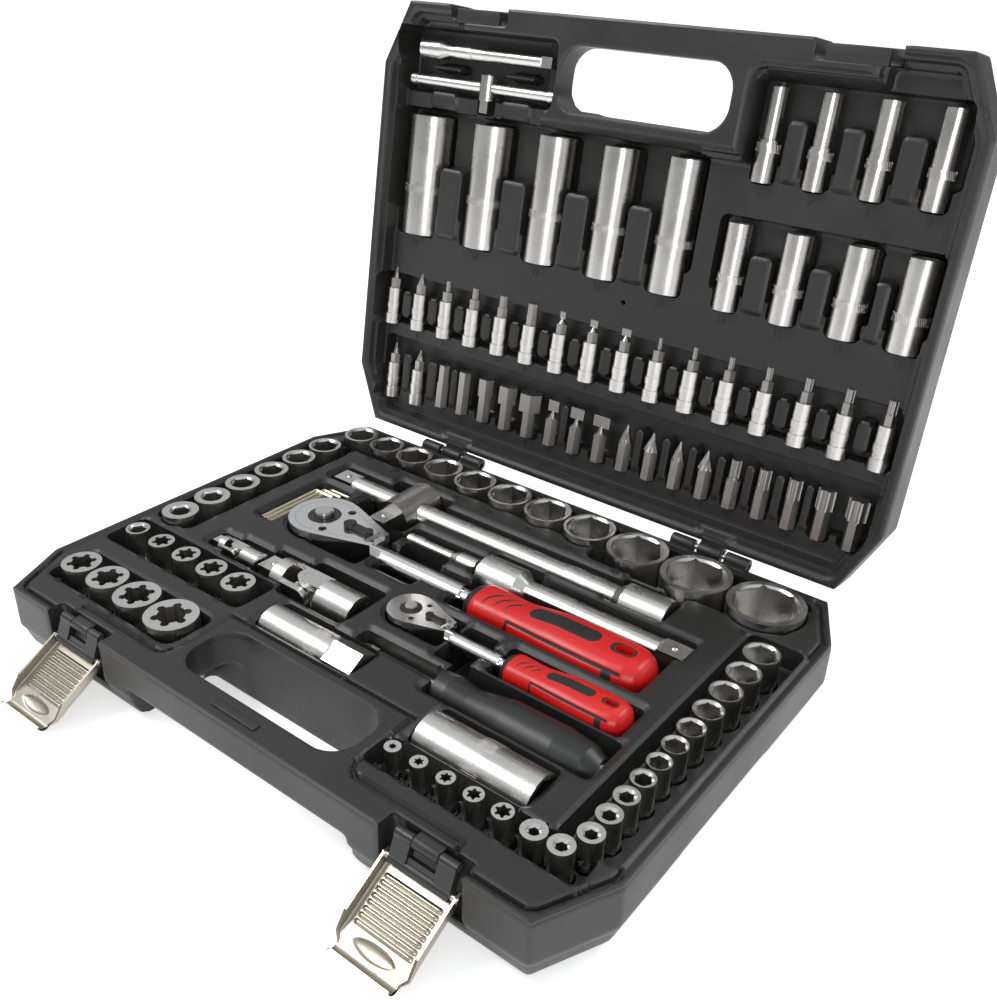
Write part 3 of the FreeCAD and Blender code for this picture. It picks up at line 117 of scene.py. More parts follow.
def polygon_distance(x, y, corners):
    best = np.full(x.shape, 1e9)
    inside = np.zeros(x.shape, bool)
    for index, (ax, ay) in enumerate(corners):
        bx, by = corners[(index + 1) % len(corners)]
        dx, dy = bx - ax, by - ay
        share = np.clip(((x - ax) * dx + (y - ay) * dy) / (dx * dx + dy * dy), 0, 1)
        best = np.minimum(best, np.hypot(x - ax - share * dx, y - ay - share * dy))
        if abs(dy) > 1e-9:
            inside ^= ((ay > y) != (by > y)) & (x < ax + (y - ay) * dx / dy)
    return np.where(inside, -best, best)


def outline_distance(x, y):
    """How far a point is outside the moulding's outline, its finger slot and its latch notches."""
    solid = polygon_distance(x, y, octagon(0.4))
    slot = box_distance(x, y, (-57, 57, -124, -87), 15)
    gaps = [box_distance(x, y, (side * LATCH_X - NOTCH[0] / 2, side * LATCH_X + NOTCH[0] / 2, -160,
                                -DEPTH / 2 + NOTCH[1]), 1.5) for side in (-1, 1)]
    return np.maximum(solid, np.maximum(-slot, np.maximum(-gaps[0], -gaps[1])))


def box_cut(limits, depth, lip=(1.2, 0.5), radius=2.5, kind="cut"):
    """One pocket (or raised land) of the tray: its outline, its depth below the rim and its edge."""
    window = (limits[0] - 6, limits[1] + 6, limits[2] - 6, limits[3] + 6)
    return (kind, lambda x, y: box_distance(x, y, limits, radius), window, depth, lip)


def round_cut(cx, cy, radius, depth, lip=(1.2, 0.5)):
    window = (cx - radius - 6, cx + radius + 6, cy - radius - 6, cy + radius + 6)
    return ("cut", lambda x, y: np.hypot(x - cx, y - cy) - radius, window, depth, lip)


def relief(features):
    """A tray surface as a fine net whose lines are pulled onto every edge: points (x, y, depth) and triangles."""
    xs = np.arange(-WIDTH / 2 - CELL, WIDTH / 2 + CELL, CELL)
    ys = np.arange(-DEPTH / 2 - CELL, DEPTH / 2 + CELL, CELL)
    X, Y = np.meshgrid(xs, ys, indexing="ij")
    held = np.zeros(X.shape, bool)
    everywhere = (-WIDTH, WIDTH, -DEPTH, DEPTH)

    def part_of(window):
        i = np.searchsorted(xs, [window[0], window[1]])
        j = np.searchsorted(ys, [window[2], window[3]])
        return (slice(i[0], i[1]), slice(j[0], j[1]))

    def pull(distance, window, levels):
        area = part_of(window)
        x, y = X[area].copy(), Y[area].copy()
        away = distance(x, y)
        levels = np.array(levels)
        nearest = levels[np.argmin(np.abs(away[..., None] - levels), axis=-1)]
        near = (np.abs(away - nearest) < 0.71 * CELL) & ~held[area]
        for step in range(2):
            e = 0.02
            gx = (distance(x + e, y) - distance(x - e, y)) / (2 * e)
            gy = (distance(x, y + e) - distance(x, y - e)) / (2 * e)
            size = np.maximum(gx * gx + gy * gy, 0.25)
            gap = np.clip(distance(x, y) - nearest, -CELL, CELL)
            x = np.where(near, x - gap * gx / size, x)
            y = np.where(near, y - gap * gy / size, y)
        X[area] = x
        Y[area] = y
        held[area] |= near

    pull(outline_distance, everywhere, (0, -CELL))
    for kind, distance, window, depth, lip in reversed(features):
        if kind == "cut":
            pull(distance, window, (lip[0], 0, -CELL, -2 * CELL))
        elif kind == "block":
            pull(distance, window, (CELL, 0, -lip[0]))
        else:
            pull(distance, window, [p[0] for p in depth])
    D = np.zeros(X.shape)
    for kind, distance, window, depth, lip in features:
        area = part_of(window)
        away = distance(X[area], Y[area])
        if kind == "cut":
            shape = np.interp(away, [-2 * CELL, -CELL, 0, lip[0]], [depth, depth - 0.6, lip[1], 0])
            D[area] = np.where(away < lip[0], np.maximum(D[area], shape), D[area])
        elif kind == "block":
            shape = np.interp(away, [-lip[0], 0, CELL], [depth, depth + lip[1], 80])
            D[area] = np.where(away < CELL, np.minimum(D[area], shape), D[area])
        else:
            shape = np.interp(away, [p[0] for p in depth], [p[1] for p in depth])
            D[area] = np.maximum(D[area], shape)
    edge = outline_distance(X, Y)
    D = np.maximum(D, np.interp(edge, [-CELL, 0], [0, 0.45]))
    keep = edge < 0.05
    count = X.shape
    index = np.arange(X.size).reshape(count)
    a, b, c, d = index[:-1, :-1], index[1:, :-1], index[1:, 1:], index[:-1, 1:]
    flat = D.ravel()
    use_ac = np.abs(flat[a] - flat[c]) <= np.abs(flat[b] - flat[d])
    first = np.where(use_ac[..., None], np.stack([a, b, c], -1), np.stack([a, b, d], -1)).reshape(-1, 3)
    second = np.where(use_ac[..., None], np.stack([a, c, d], -1), np.stack([b, c, d], -1)).reshape(-1, 3)
    faces = np.concatenate([first, second])
    faces = faces[keep.ravel()[faces].all(axis=1)]
    used, faces = np.unique(faces, return_inverse=True)
    faces = faces.reshape(-1, 3)
    points = np.stack([X.ravel()[used], Y.ravel()[used], flat[used]], -1)
    return points, faces


def make_object(name, points, faces, material=None, smooth_angle=None):
    """A mesh object from points in metres."""
    mesh = bpy.data.meshes.new(name)
    mesh.from_pydata([tuple(p) for p in points], [], [tuple(int(i) for i in f) for f in faces])
    mesh.validate()
    mesh.shade_smooth()
    if smooth_angle:
        mesh.set_sharp_from_angle(angle=math.radians(smooth_angle))
    piece = bpy.data.objects.new(name, mesh)
    bpy.context.scene.collection.objects.link(piece)
    if material:
        mesh.materials.append(material)
    return piece


def tray_surface(name, features, lift, material):
    """The relief with a short skirt at its outer edge; `lift` turns (x, y, depth) into the row frame."""
    points, faces = relief(features)
    edges = {}
    for f in faces:
        for k in range(3):
            pair = (int(f[k]), int(f[(k + 1) % 3]))
            if (pair[1], pair[0]) in edges:
                del edges[(pair[1], pair[0])]
            else:
                edges[pair] = True
    low = {}
    skirt_points = []
    for pair in edges:
        for v in pair:
            if v not in low:
                low[v] = len(points) + len(skirt_points)
                x, y, z = points[v]
                skirt_points.append((x, y, z + SKIRT))
    skirt = []
    for a, b in edges:
        skirt += [(a, low[a], low[b]), (a, low[b], b)]
    points = np.concatenate([points, np.array(skirt_points)])
    faces = np.concatenate([faces, np.array(skirt)])
    return make_object(name, lift(points), faces, material, 40)


def ring_solid(rings, lift):
    """A closed solid through octagon rings given as (depth below the rim, inset)."""
    bm = bmesh.new()
    loops = []
    for h, inset in rings:
        ring = np.array([(x, y, h) for x, y in octagon(inset)])
        loops.append([bm.verts.new(p) for p in lift(ring)])
    for one, two in zip(loops, loops[1:]):
        for k in range(8):
            bm.faces.new((one[k], one[(k + 1) % 8], two[(k + 1) % 8], two[k]))
    bm.faces.new(loops[0])
    bm.faces.new(list(reversed(loops[-1])))
    bmesh.ops.recalc_face_normals(bm, faces=bm.faces)
    mesh = bpy.data.meshes.new("shell")
    bm.to_mesh(mesh)
    bm.free()
    return mesh


def block_mesh(limits, lift, radius=0.0):
    """A block (x0, x1, y0, y1, h0, h1), its upright edges rounded."""
    x0, x1, y0, y1, h0, h1 = limits
    outline = []
    for cx, cy, first in ((x1 - radius, y1 - radius, 0), (x0 + radius, y1 - radius, 90),
                          (x0 + radius, y0 + radius, 180), (x1 - radius, y0 + radius, 270)):
        for turn in np.radians(np.linspace(first, first + 90, 9)) if radius else [0.0]:
            outline.append((cx + radius * math.cos(turn), cy + radius * math.sin(turn)))
    count = len(outline)
    places = lift(np.array([(x, y, h) for h in (h0, h1) for x, y in outline]))
    bm = bmesh.new()
    v = [bm.verts.new(p) for p in places]
    bm.faces.new(v[:count])
    bm.faces.new(v[:count - 1:-1])
    for k in range(count):
        n = (k + 1) % count
        bm.faces.new((v[k], v[n], v[count + n], v[count + k]))
    bmesh.ops.recalc_face_normals(bm, faces=bm.faces)
    mesh = bpy.data.meshes.new("block")
    bm.to_mesh(mesh)
    bm.free()
    return mesh


def moulded_shell(name, rings, cutters, lift, material):
    """The outside of a half: the shell less its recesses, with the soft edges of a blow moulding."""
    shell = bpy.data.objects.new(name, ring_solid(rings, base_lift))
    bpy.context.scene.collection.objects.link(shell)
    helpers = []
    for limits, radius in cutters:
        helper = bpy.data.objects.new("cutter", block_mesh(limits, base_lift, radius))
        bpy.context.scene.collection.objects.link(helper)
        helpers.append(helper)
        boolean = shell.modifiers.new("cut", "BOOLEAN")
        boolean.operation = "DIFFERENCE"
        boolean.solver = "EXACT"
        boolean.object = helper
    remesh = shell.modifiers.new("mould", "REMESH")
    remesh.mode = "VOXEL"
    remesh.voxel_size = 0.0015
    soften = shell.modifiers.new("soften", "SMOOTH")
    soften.factor = 0.5
    soften.iterations = 4
    mesh = bpy.data.meshes.new_from_object(shell.evaluated_get(bpy.context.evaluated_depsgraph_get()))
    shell.modifiers.clear()
    for helper in helpers:
        bpy.data.objects.remove(helper)
    bm = bmesh.new()
    bm.from_mesh(mesh)
    depths = RIM - 1000 * np.array([f.calc_center_median().z for f in bm.faces])
    steep = -np.array([f.normal.z for f in bm.faces])
    gone = [f for f, h, s in zip(bm.faces, depths, steep) if h < 2.0 and s < -0.55]
    bmesh.ops.delete(bm, geom=gone, context="FACES")
    bm.to_mesh(mesh)
    bm.free()
    shell.data = mesh
    thin = shell.modifiers.new("thin", "DECIMATE")
    thin.ratio = 0.42
    mesh = bpy.data.meshes.new_from_object(shell.evaluated_get(bpy.context.evaluated_depsgraph_get()))
    shell.modifiers.clear()
    shell.data = mesh
    mesh.name = name
    places = np.array([v.co for v in mesh.vertices]) * 1000
    places[:, 2] = RIM - places[:, 2]
    grain = mesh.attributes.new("grain", "FLOAT", "POINT")
    grain.data.foreach_set("value", np.clip((places[:, 2] - BELT - 0.6) / 0.8, 0, 1).astype(np.float32))
    mesh.vertices.foreach_set("co", lift(places).ravel())
    if lift is not base_lift:
        mesh.flip_normals()
    mesh.shade_smooth()
    mesh.set_sharp_from_angle(angle=math.radians(48))
    mesh.materials.clear()
    mesh.materials.append(material)
    return shell


def islands(name, closed=None):
    """Lowest and highest corner of every separate solid of a CAD node, in mm."""
    bm = bmesh.new()
    bm.from_mesh(frame["nodes"][name].data)
    bmesh.ops.remove_doubles(bm, verts=bm.verts, dist=1e-5)
    bm.verts.ensure_lookup_table()
    seen = set()
    found = []
    for start in bm.verts:
        if start.index in seen:
            continue
        stack, group = [start], []
        seen.add(start.index)
        while stack:
            v = stack.pop()
            group.append(v.co * 1000)
            for e in v.link_edges:
                other = e.other_vert(v)
                if other.index not in seen:
                    seen.add(other.index)
                    stack.append(other)
        co = np.array([closed @ p if closed else p for p in group])
        found.append((co.min(0), co.max(0)))
    bm.free()
    return found


def new_material(name):
    material = bpy.data.materials.new(name)
    material.use_nodes = True
    tree = material.node_tree
    return material, tree, tree.nodes["Principled BSDF"]


def link(tree, out, into):
    tree.links.new(out, into)


def blend_colours(tree, share, first, second, shader):
    """A colour between two, by `share`, into the shader's base colour."""
    colour = tree.nodes.new("ShaderNodeMix")
    colour.data_type = "RGBA"
    colour.inputs[6].default_value = (*first, 1)
    colour.inputs[7].default_value = (*second, 1)
    link(tree, share, colour.inputs[0])
    if shader:
        link(tree, colour.outputs[2], shader.inputs["Base Color"])
    return colour


def vary_roughness(tree, share, low, high, shader, start=0.3, end=0.7):
    rough = tree.nodes.new("ShaderNodeMapRange")
    for label, value in (("From Min", start), ("From Max", end), ("To Min", low), ("To Max", high)):
        rough.inputs[label].default_value = value
    link(tree, share, rough.inputs["Value"])
    link(tree, rough.outputs["Result"], shader.inputs["Roughness"])


def raise_grain(tree, height, strength, distance, shader):
    bump = tree.nodes.new("ShaderNodeBump")
    bump.inputs["Strength"].default_value = strength
    bump.inputs["Distance"].default_value = distance
    link(tree, height, bump.inputs["Height"])
    link(tree, bump.outputs["Normal"], shader.inputs["Normal"])


def grain_group():
    """Moulded grain: a fine matt skin everywhere and coarse pebbles where `Pebbles` is 1."""
    group = bpy.data.node_groups.new("moulded_grain", "ShaderNodeTree")
    for name, value in (("Fine Scale", 2600.0), ("Pebble Scale", 900.0), ("Pebbles", 0.0)):
        socket = group.interface.new_socket(name, in_out="INPUT", socket_type="NodeSocketFloat")
        socket.default_value = value
    group.interface.new_socket("Height", in_out="OUTPUT", socket_type="NodeSocketFloat")
    group.interface.new_socket("Patches", in_out="OUTPUT", socket_type="NodeSocketFloat")
    inside = group.nodes.new("NodeGroupInput")
    outside = group.nodes.new("NodeGroupOutput")
    place = group.nodes.new("ShaderNodeTexCoord")
    fine = group.nodes.new("ShaderNodeTexNoise")
    fine.inputs["Detail"].default_value = 3
    pebble = group.nodes.new("ShaderNodeTexVoronoi")
    pebble.feature = "SMOOTH_F1"
    wide = group.nodes.new("ShaderNodeTexNoise")
    wide.inputs["Scale"].default_value = 22
    wide.inputs["Detail"].default_value = 5
    for texture in (fine, pebble, wide):
        link(group, place.outputs["Object"], texture.inputs["Vector"])
    link(group, inside.outputs["Fine Scale"], fine.inputs["Scale"])
    link(group, inside.outputs["Pebble Scale"], pebble.inputs["Scale"])
    strong = group.nodes.new("ShaderNodeMath")
    strong.operation = "MULTIPLY"
    link(group, pebble.outputs["Distance"], strong.inputs[0])
    link(group, inside.outputs["Pebbles"], strong.inputs[1])
    scaled = group.nodes.new("ShaderNodeMath")
    scaled.operation = "MULTIPLY"
    scaled.inputs[1].default_value = 0.22
    link(group, fine.outputs["Fac"], scaled.inputs[0])
    total = group.nodes.new("ShaderNodeMath")
    total.operation = "SUBTRACT"
    link(group, scaled.outputs[0], total.inputs[0])
    link(group, strong.outputs[0], total.inputs[1])
    link(group, total.outputs[0], outside.inputs["Height"])
    link(group, wide.outputs["Fac"], outside.inputs["Patches"])
    return group


MOULDED_GRAIN = grain_group()


def case_plastic(name, black, grey, pebbled):
    material, tree, shader = new_material(name)
    grain = tree.nodes.new("ShaderNodeGroup")
    grain.node_tree = MOULDED_GRAIN
    if pebbled:
        mask = tree.nodes.new("ShaderNodeAttribute")
        mask.attribute_name = "grain"
        link(tree, mask.outputs["Fac"], grain.inputs["Pebbles"])
    blend_colours(tree, grain.outputs["Patches"], black, grey, shader)
    vary_roughness(tree, grain.outputs["Patches"], 0.36, 0.50, shader)
    raise_grain(tree, grain.outputs["Height"], 0.55, 0.0005, shader)
    return material


tray_plastic = case_plastic("tray_plastic", BASE_BLACK, BASE_GREY, False)
shell_plastic = case_plastic("shell_plastic", BASE_BLACK, BASE_GREY, True)


def base_lift(points):
    return np.stack([points[:, 0], points[:, 1], RIM - points[:, 2]], -1) * 0.001


def rim_groove(steps):
    """The profile that runs along the inner edge of the rim."""
    return ("path", lambda x, y: polygon_distance(x, y, tray_edge(-7)) - 7, (-WIDTH, WIDTH, -DEPTH, DEPTH), steps,
            (0, 0))


base_features = [rim_groove([(-1.3, 0.0), (0.0, 0.5), (0.7, 2.4), (1.9, 2.4), (2.6, 0.5), (3.8, 0.0)])]
for x0, x1, y0, y1, depth in SUNK_FLOORS:
    base_features.append(box_cut((x0, x1, y0, y1), depth, (1.8, 1.0), 5))
for x0, x1, y0, y1, floor in BASE_TRENCHES:
    base_features.append(box_cut((x0, x1, y0, y1), RIM - floor, (3.4, 2.2), 3))
for cx, cy, radius, floor in BASE_WELLS:
    base_features.append(round_cut(cx, cy, radius, RIM - floor, (2.4, 1.4)))
STANDING = {"back_sockets": "x", "side_sockets": "y", "quarter_sockets": "y", "star_sockets": "", "bit_adapter": ""}
standing = {}
for name, row in STANDING.items():
    cups = islands(name)
    standing[name] = cups
    last = None
    for low, high in sorted(cups, key=lambda c: c[0][0 if row == "x" else 1]):
        cx, cy = (low[:2] + high[:2]) / 2
        radius = (high[0] - low[0]) / 2
        floor = RIM - low[2] + 0.3
        if last and row == "x":
            base_features.append(box_cut((last[0], cx, min(cy, last[1]) - 4, max(cy, last[1]) + 4), floor))
        if last and row == "y" and abs(cx - last[0]) < 3:
            base_features.append(box_cut((cx - 4, cx + 4, last[1], cy), floor))
        last = (cx, cy)
        base_features.append(round_cut(cx, cy, radius + 0.9, floor))

base_tray = tray_surface("base_tray", base_features, base_lift, tray_plastic)
BASE_RINGS = [(1.0, 0.0), (BELT, 0.0), (BELT + 0.6, 1.2), (36.0, 4.4), (40.0, 7.0), (42.0, 10.0)]
base_cutters = [((-57, 57, -124, -87, -5, 50), 15), ((-78, 78, -146, -88, 20, 50), 4),
                ((188, 200, -52, 42, BELT, 50), 0), ((-200, -188, -52, 42, BELT, 50), 0)]
for side in (-1, 1):
    base_cutters.append(((side * LATCH_X - 22.5, side * LATCH_X + 22.5, -146, -130, -5, 30), 1.5))
base_shell = moulded_shell("base_shell", BASE_RINGS, base_cutters, base_lift, shell_plastic)


def rounded_parts(name, solids, lift, material, bevel=0.5):
    """Small solid features as one mesh: boxes (x0, x1, y0, y1, h0, h1) and bars ("x", x0, x1, y, h, radius)."""
    bm = bmesh.new()
    for solid in solids:
        part = bmesh.new()
        if solid[0] == "x":
            _, x0, x1, cy, ch, radius = solid
            made = bmesh.ops.create_cone(part, cap_ends=True, segments=32, radius1=radius, radius2=radius,
                                         depth=x1 - x0)
            turn = Matrix.Translation(((x0 + x1) / 2, cy, ch)) @ Matrix.Rotation(math.pi / 2, 4, "Y")
            bmesh.ops.transform(part, matrix=turn, verts=made["verts"])
            edges = [e for e in part.edges if e.is_manifold and e.calc_face_angle() > 1]
        else:
            x0, x1, y0, y1, h0, h1 = solid
            made = bmesh.ops.create_cube(part, size=1)
            size = Matrix.Diagonal((x1 - x0, y1 - y0, h1 - h0, 1))
            bmesh.ops.transform(part, matrix=Matrix.Translation(((x0 + x1) / 2, (y0 + y1) / 2, (h0 + h1) / 2)) @ size,
                                verts=made["verts"])
            edges = list(part.edges)
        bmesh.ops.bevel(part, geom=edges, offset=bevel, segments=3, affect="EDGES", profile=0.5)
        whole = bpy.data.meshes.new("part")
        part.to_mesh(whole)
        part.free()
        bm.from_mesh(whole)
        bpy.data.meshes.remove(whole)
    places = lift(np.array([v.co for v in bm.verts]))
    for v, place in zip(bm.verts, places):
        v.co = place
    bmesh.ops.recalc_face_normals(bm, faces=bm.faces)
    mesh = bpy.data.meshes.new(name)
    bm.to_mesh(mesh)
    bm.free()
    mesh.shade_smooth()
    mesh.set_sharp_from_angle(angle=math.radians(40))
    mesh.materials.append(material)
    piece = bpy.data.objects.new(name, mesh)
    bpy.context.scene.collection.objects.link(piece)
    return piece


hinge_y = DEPTH / 2 + 4.5
parts = []
for side in (-1, 1):
    for step in (-1, 1):
        x = side * HINGE_X + step * KNUCKLE[1]
        parts.append(("x", x - 7.5, x + 7.5, hinge_y, 0.0, KNUCKLE[2]))
        parts.append((x - 7.5, x + 7.5, DEPTH / 2 - 3, hinge_y, 0.0, 6.0))
    x = side * LATCH_X
    parts.append(("x", x - 7, x + 7, -133.8, 4.5, 3.0))
    parts.append((x - 7, x + 7, -133.8, -129.0, 1.5, 7.5))
parts.append((-15, 15, -134.6, -129.8, -1.0, 0.6))
base_details = rounded_parts("base_details", parts, base_lift, tray_plastic)
for piece in (base_tray, base_shell, base_details):
    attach(piece, "case_base")
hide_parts("case_base")

# ---------------------------------------------------------------- lid
# The lid is the same moulding turned over: its tray lies deeper than the rim, each row of tools has a trough,
# and rounded lands stand between the tools, so that a finger can lift them out.
hinge = next(j for j in frame["joints"] if j["name"] == "lid_hinge")
pivot = Vector(hinge["pos_m"]) * 1000
OPEN = (Matrix.Translation(pivot) @ Matrix.Rotation(math.radians(hinge["range_deg"][0]), 4, "X")
        @ Matrix.Translation(-pivot))
SHUT = OPEN.inverted()
LID_RIM = RIM + 0.3
PANEL = 13.0
TURN = np.array(OPEN.to_3x3())
SHIFT = np.array(OPEN.translation)


def lid_lift(points):
    shut = np.stack([points[:, 0], points[:, 1], LID_RIM + points[:, 2]], -1)
    return (shut @ TURN.T + SHIFT) * 0.001


lid_features = [rim_groove([(-6.0, PANEL), (-4.6, 12.4), (-3.2, 5.2), (-1.2, 4.8), (0.0, 1.8), (1.2, 1.5),
                            (2.4, 0.2), (3.6, 0.0)])]
rows = {name: islands(name, SHUT) for name in
        ("deep_half_sockets", "deep_quarter_sockets", "bit_sockets", "bit_socket_tips", "loose_bits")}


def land_between(tools, y0, y1, depth, gap, lip=(1.6, 1.1)):
    """Raised lands between neighbouring tools of one row."""
    lands = []
    order = sorted(tools, key=lambda t: t[0][0])
    for one, two in zip(order, order[1:]):
        x0, x1 = one[1][0] + gap, two[0][0] - gap
        if x1 - x0 > 5:
            lands.append(box_cut((x0, x1, y0, y1), depth, lip, 3.0, "block"))
    return lands


def trough(tools, before, after, depth, side=7):
    low = np.min([t[0] for t in tools], 0)
    high = np.max([t[1] for t in tools], 0)
    return box_cut((low[0] - side, high[0] + side, low[1] - before, high[1] + after), depth, (1.4, 0.7), 5)


half_row = rows["deep_half_sockets"]
front_row = [t for t in rows["deep_quarter_sockets"] if t[0][1] < -80]
back_row = [t for t in rows["deep_quarter_sockets"] if t[0][1] > -80]
first_bits = [t for t in rows["bit_sockets"] if t[0][1] < 80]
last_bits = [t for t in rows["bit_sockets"] if t[0][1] > 80]
loose = rows["loose_bits"]
for tools, before, after, depth, reach in ((half_row, 5, -14, 27.0, 0.40), (front_row, 4, -9, 21.5, 0.32),
                                           (back_row, 4, -9, 22.5, 0.32)):
    lid_features.append(trough(tools, before, after, depth, 5))
    low = min(t[0][1] for t in tools)
    high = max(t[1][1] for t in tools)
    lid_features += land_between(tools, low + (high - low) * reach, high - 2, PANEL - 2.2, 3.2)
for tools, low, high in ((first_bits, -5, -1), (last_bits + loose, -6, -8)):
    lid_features.append(trough(tools, 11, high, 22.0, 4))
    first = min(t[0][1] for t in tools)
    last = max(t[1][1] for t in tools)
    lid_features += land_between(tools, first + 1, last - 6, PANEL - 1.0, 1.7, (1.2, 0.8))
for x0, x1, y0, y1, depth in ((-184, -58, -126, -86, 22.0),):
    lid_features.append(box_cut((x0, x1, y0, y1), depth, (1.4, 0.7), 5))
    for bx in (-150, -92):
        for by0, by1 in ((-104.5, -100.5), (-88, -79)):
            lid_features.append(box_cut((bx - 11, bx + 11, by0, by1), PANEL - 2.0, (1.4, 1.0), 2.5, "block"))
for tools, gap in ((half_row, 1.3), (front_row, 1.3), (back_row, 1.3)):
    for low, high in tools:
        lid_features.append(box_cut((low[0] - gap, high[0] + gap, low[1] - gap, high[1] + gap),
                                    high[2] - LID_RIM + 0.8, (1.0, 0.4), 4))
for tools, back in ((first_bits, 1.2), (last_bits, 1.2), (loose, 1.2)):
    for low, high in tools:
        lid_features.append(box_cut((low[0] - 1.2, high[0] + 1.2, low[1] - 2, high[1] + back),
                                    high[2] - LID_RIM + 0.8, (1.0, 0.4), 3))
for name in ("quarter_extension_100", "quarter_tee_bar", "quarter_tee_slider"):
    for low, high in islands(name, SHUT):
        lid_features.append(box_cut((low[0] - 1.5, high[0] + 1.5, low[1] - 1.5, high[1] + 1.5),
                                    high[2] - LID_RIM + 0.8, (1.0, 0.4), 2))
lid_features.append(round_cut(6, 16, 1.7, PANEL + 6, (0.6, 0.2)))
for x in (-HINGE_X, HINGE_X):
    lid_features.append(box_cut((x - 11, x + 11, 133, 150), 0.6, (0.6, 0.2), 1))

lid_plastic = case_plastic("lid_plastic", BASE_BLACK, BASE_GREY, False)
lid_tray = tray_surface("lid_tray", lid_features, lid_lift, lid_plastic)
lid_tray.data.flip_normals()
lid_cutters = [((-57, 57, -124, -87, -5, 50), 15), ((-78, 78, -146, -88, 20, 50), 4)]
for side in (-1, 1):
    lid_cutters.append(((side * LATCH_X - 22.5, side * LATCH_X + 22.5, -147, -137.8, -6, 23), 0))
    lid_cutters.append(((side * LATCH_X - 22.3, side * LATCH_X + 22.3, -148, -130, 24, 32), 0))
    for edge in (-1, 1):
        near, far = sorted((side * LATCH_X + edge * 16.5, side * LATCH_X + edge * 22.4))
        lid_cutters.append(((near, far, -149, -130.2, -7, 31), 0))
lid_shell = moulded_shell("lid_shell", BASE_RINGS, lid_cutters, lid_lift, shell_plastic)
parts = []
for side in (-1, 1):
    x = side * HINGE_X
    parts.append(("x", x - 7.5, x + 7.5, hinge_y, -0.3, KNUCKLE[2]))
    parts.append((x - 7.5, x + 7.5, DEPTH / 2 - 3, hinge_y, 0.0, 5.7))
    x = side * LATCH_X
    parts.append((x - 16.5, x + 16.5, -137.8, -129.5, -0.05, 24.0))
lid_details = rounded_parts("lid_details", parts, lid_lift, lid_plastic)
for piece in (lid_tray, lid_shell, lid_details):
    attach(piece, "case_lid")
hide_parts("case_lid")

# ---------------------------------------------------------------- size marks
# Plain numbers are raised in the moulding beside each pocket; they are drawn darker than the plastic, as painted
# shade that stands in for the shade of debossed numbers.
def size_marks(name, marks, lift, mirror, body):
    """Numbers as one mesh: (text, x, y, height in mm, turn in degrees, depth of the face they stand on)."""
    bm = bmesh.new()
    for text, x, y, height, turn, depth in marks:
        curve = bpy.data.curves.new("mark", "FONT")
        curve.body = str(text)
        curve.size = height * 1.35
        curve.align_x = "CENTER"
        curve.align_y = "CENTER"
        curve.extrude = 0.12
        curve.resolution_u = 3
        holder = bpy.data.objects.new("mark", curve)
        bpy.context.scene.collection.objects.link(holder)
        mesh = bpy.data.meshes.new_from_object(holder.evaluated_get(bpy.context.evaluated_depsgraph_get()))
        flip = Matrix.Diagonal((1, mirror, 1, 1))
        mesh.transform(Matrix.Translation((x, y, 0)) @ flip @ Matrix.Rotation(math.radians(turn), 4, "Z"))
        co = np.array([v.co for v in mesh.vertices])
        co[:, 2] = depth - 0.12 + co[:, 2] * -1
        for v, place in zip(mesh.vertices, lift(co)):
            v.co = place
        bm.from_mesh(mesh)
        bpy.data.objects.remove(holder)
    bmesh.ops.recalc_face_normals(bm, faces=bm.faces)
    mesh = bpy.data.meshes.new(name)
    bm.to_mesh(mesh)
    bm.free()
    mesh.materials.append(mark_painted_shade)
    piece = bpy.data.objects.new(name, mesh)
    bpy.context.scene.collection.objects.link(piece)
    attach(piece, body)
    return piece


# The numbers' darker colour is painted shade, standing in for the shade inside debossed numbers.
mark_painted_shade = case_plastic("mark_painted_shade", (0.006, 0.006, 0.006), (0.010, 0.010, 0.010), False)
marks = []
BACK_SIZES = [32, 30, 27, 24, 22, 21, 20, 19, 18, 17, 16]
SIDE_SIZES = [15, 14, 13, 12, 11, 10]
STAR_SHARE = 0.8
for (low, high), size in zip(sorted(standing["back_sockets"], key=lambda c: -c[0][0]), BACK_SIZES):
    marks.append((size, (low[0] + high[0]) / 2, low[1] - 6.5, 3.6, 0, 0))
for (low, high), size in zip(sorted(standing["side_sockets"], key=lambda c: -c[0][1]), SIDE_SIZES):
    marks.append((size, low[0] - 3.0, (low[1] + high[1]) / 2, 3.4, 0, 0))
small = sorted(standing["quarter_sockets"], key=lambda c: (c[0][1] > -100, c[0][1]))
for (low, high), size in zip(small, [4, 4.5, 5, 5.5, 6, 7, 8, 9, 10, 11, 12, 13, 14]):
    marks.append((size, high[0] + 5.0, (low[1] + high[1]) / 2, 3.4, 0, 0))
for low, high in standing["star_sockets"]:
    marks.append((int(round((high[0] - low[0]) * STAR_SHARE)), (low[0] + high[0]) / 2, low[1] - 5.0, 3.4, 0, 0))
size_marks("base_size_marks", marks, base_lift, 1, "case_base")
marks = []
for tools, sizes in ((half_row, [22, 19, 17, 15, 14]), (front_row, [6, 7, 8, 9]), (back_row, [10, 11, 12, 13])):
    for (low, high), size in zip(sorted(tools, key=lambda c: c[0][0]), sizes):
        marks.append((size, (low[0] + high[0]) / 2, high[1] + 6.5, 4.2, 0, PANEL))
for number, (low, high) in enumerate(sorted(first_bits, key=lambda c: c[0][0])):
    marks.append((number + 1, (low[0] + high[0]) / 2, high[1] + 4.6, 3.4, 0, PANEL))
for number, (low, high) in enumerate(sorted(last_bits + loose, key=lambda c: c[0][0])):
    marks.append((number + 2, (low[0] + high[0]) / 2, high[1] + 4.6, 3.4, 0, PANEL))
size_marks("lid_size_marks", marks, lid_lift, -1, "case_lid")

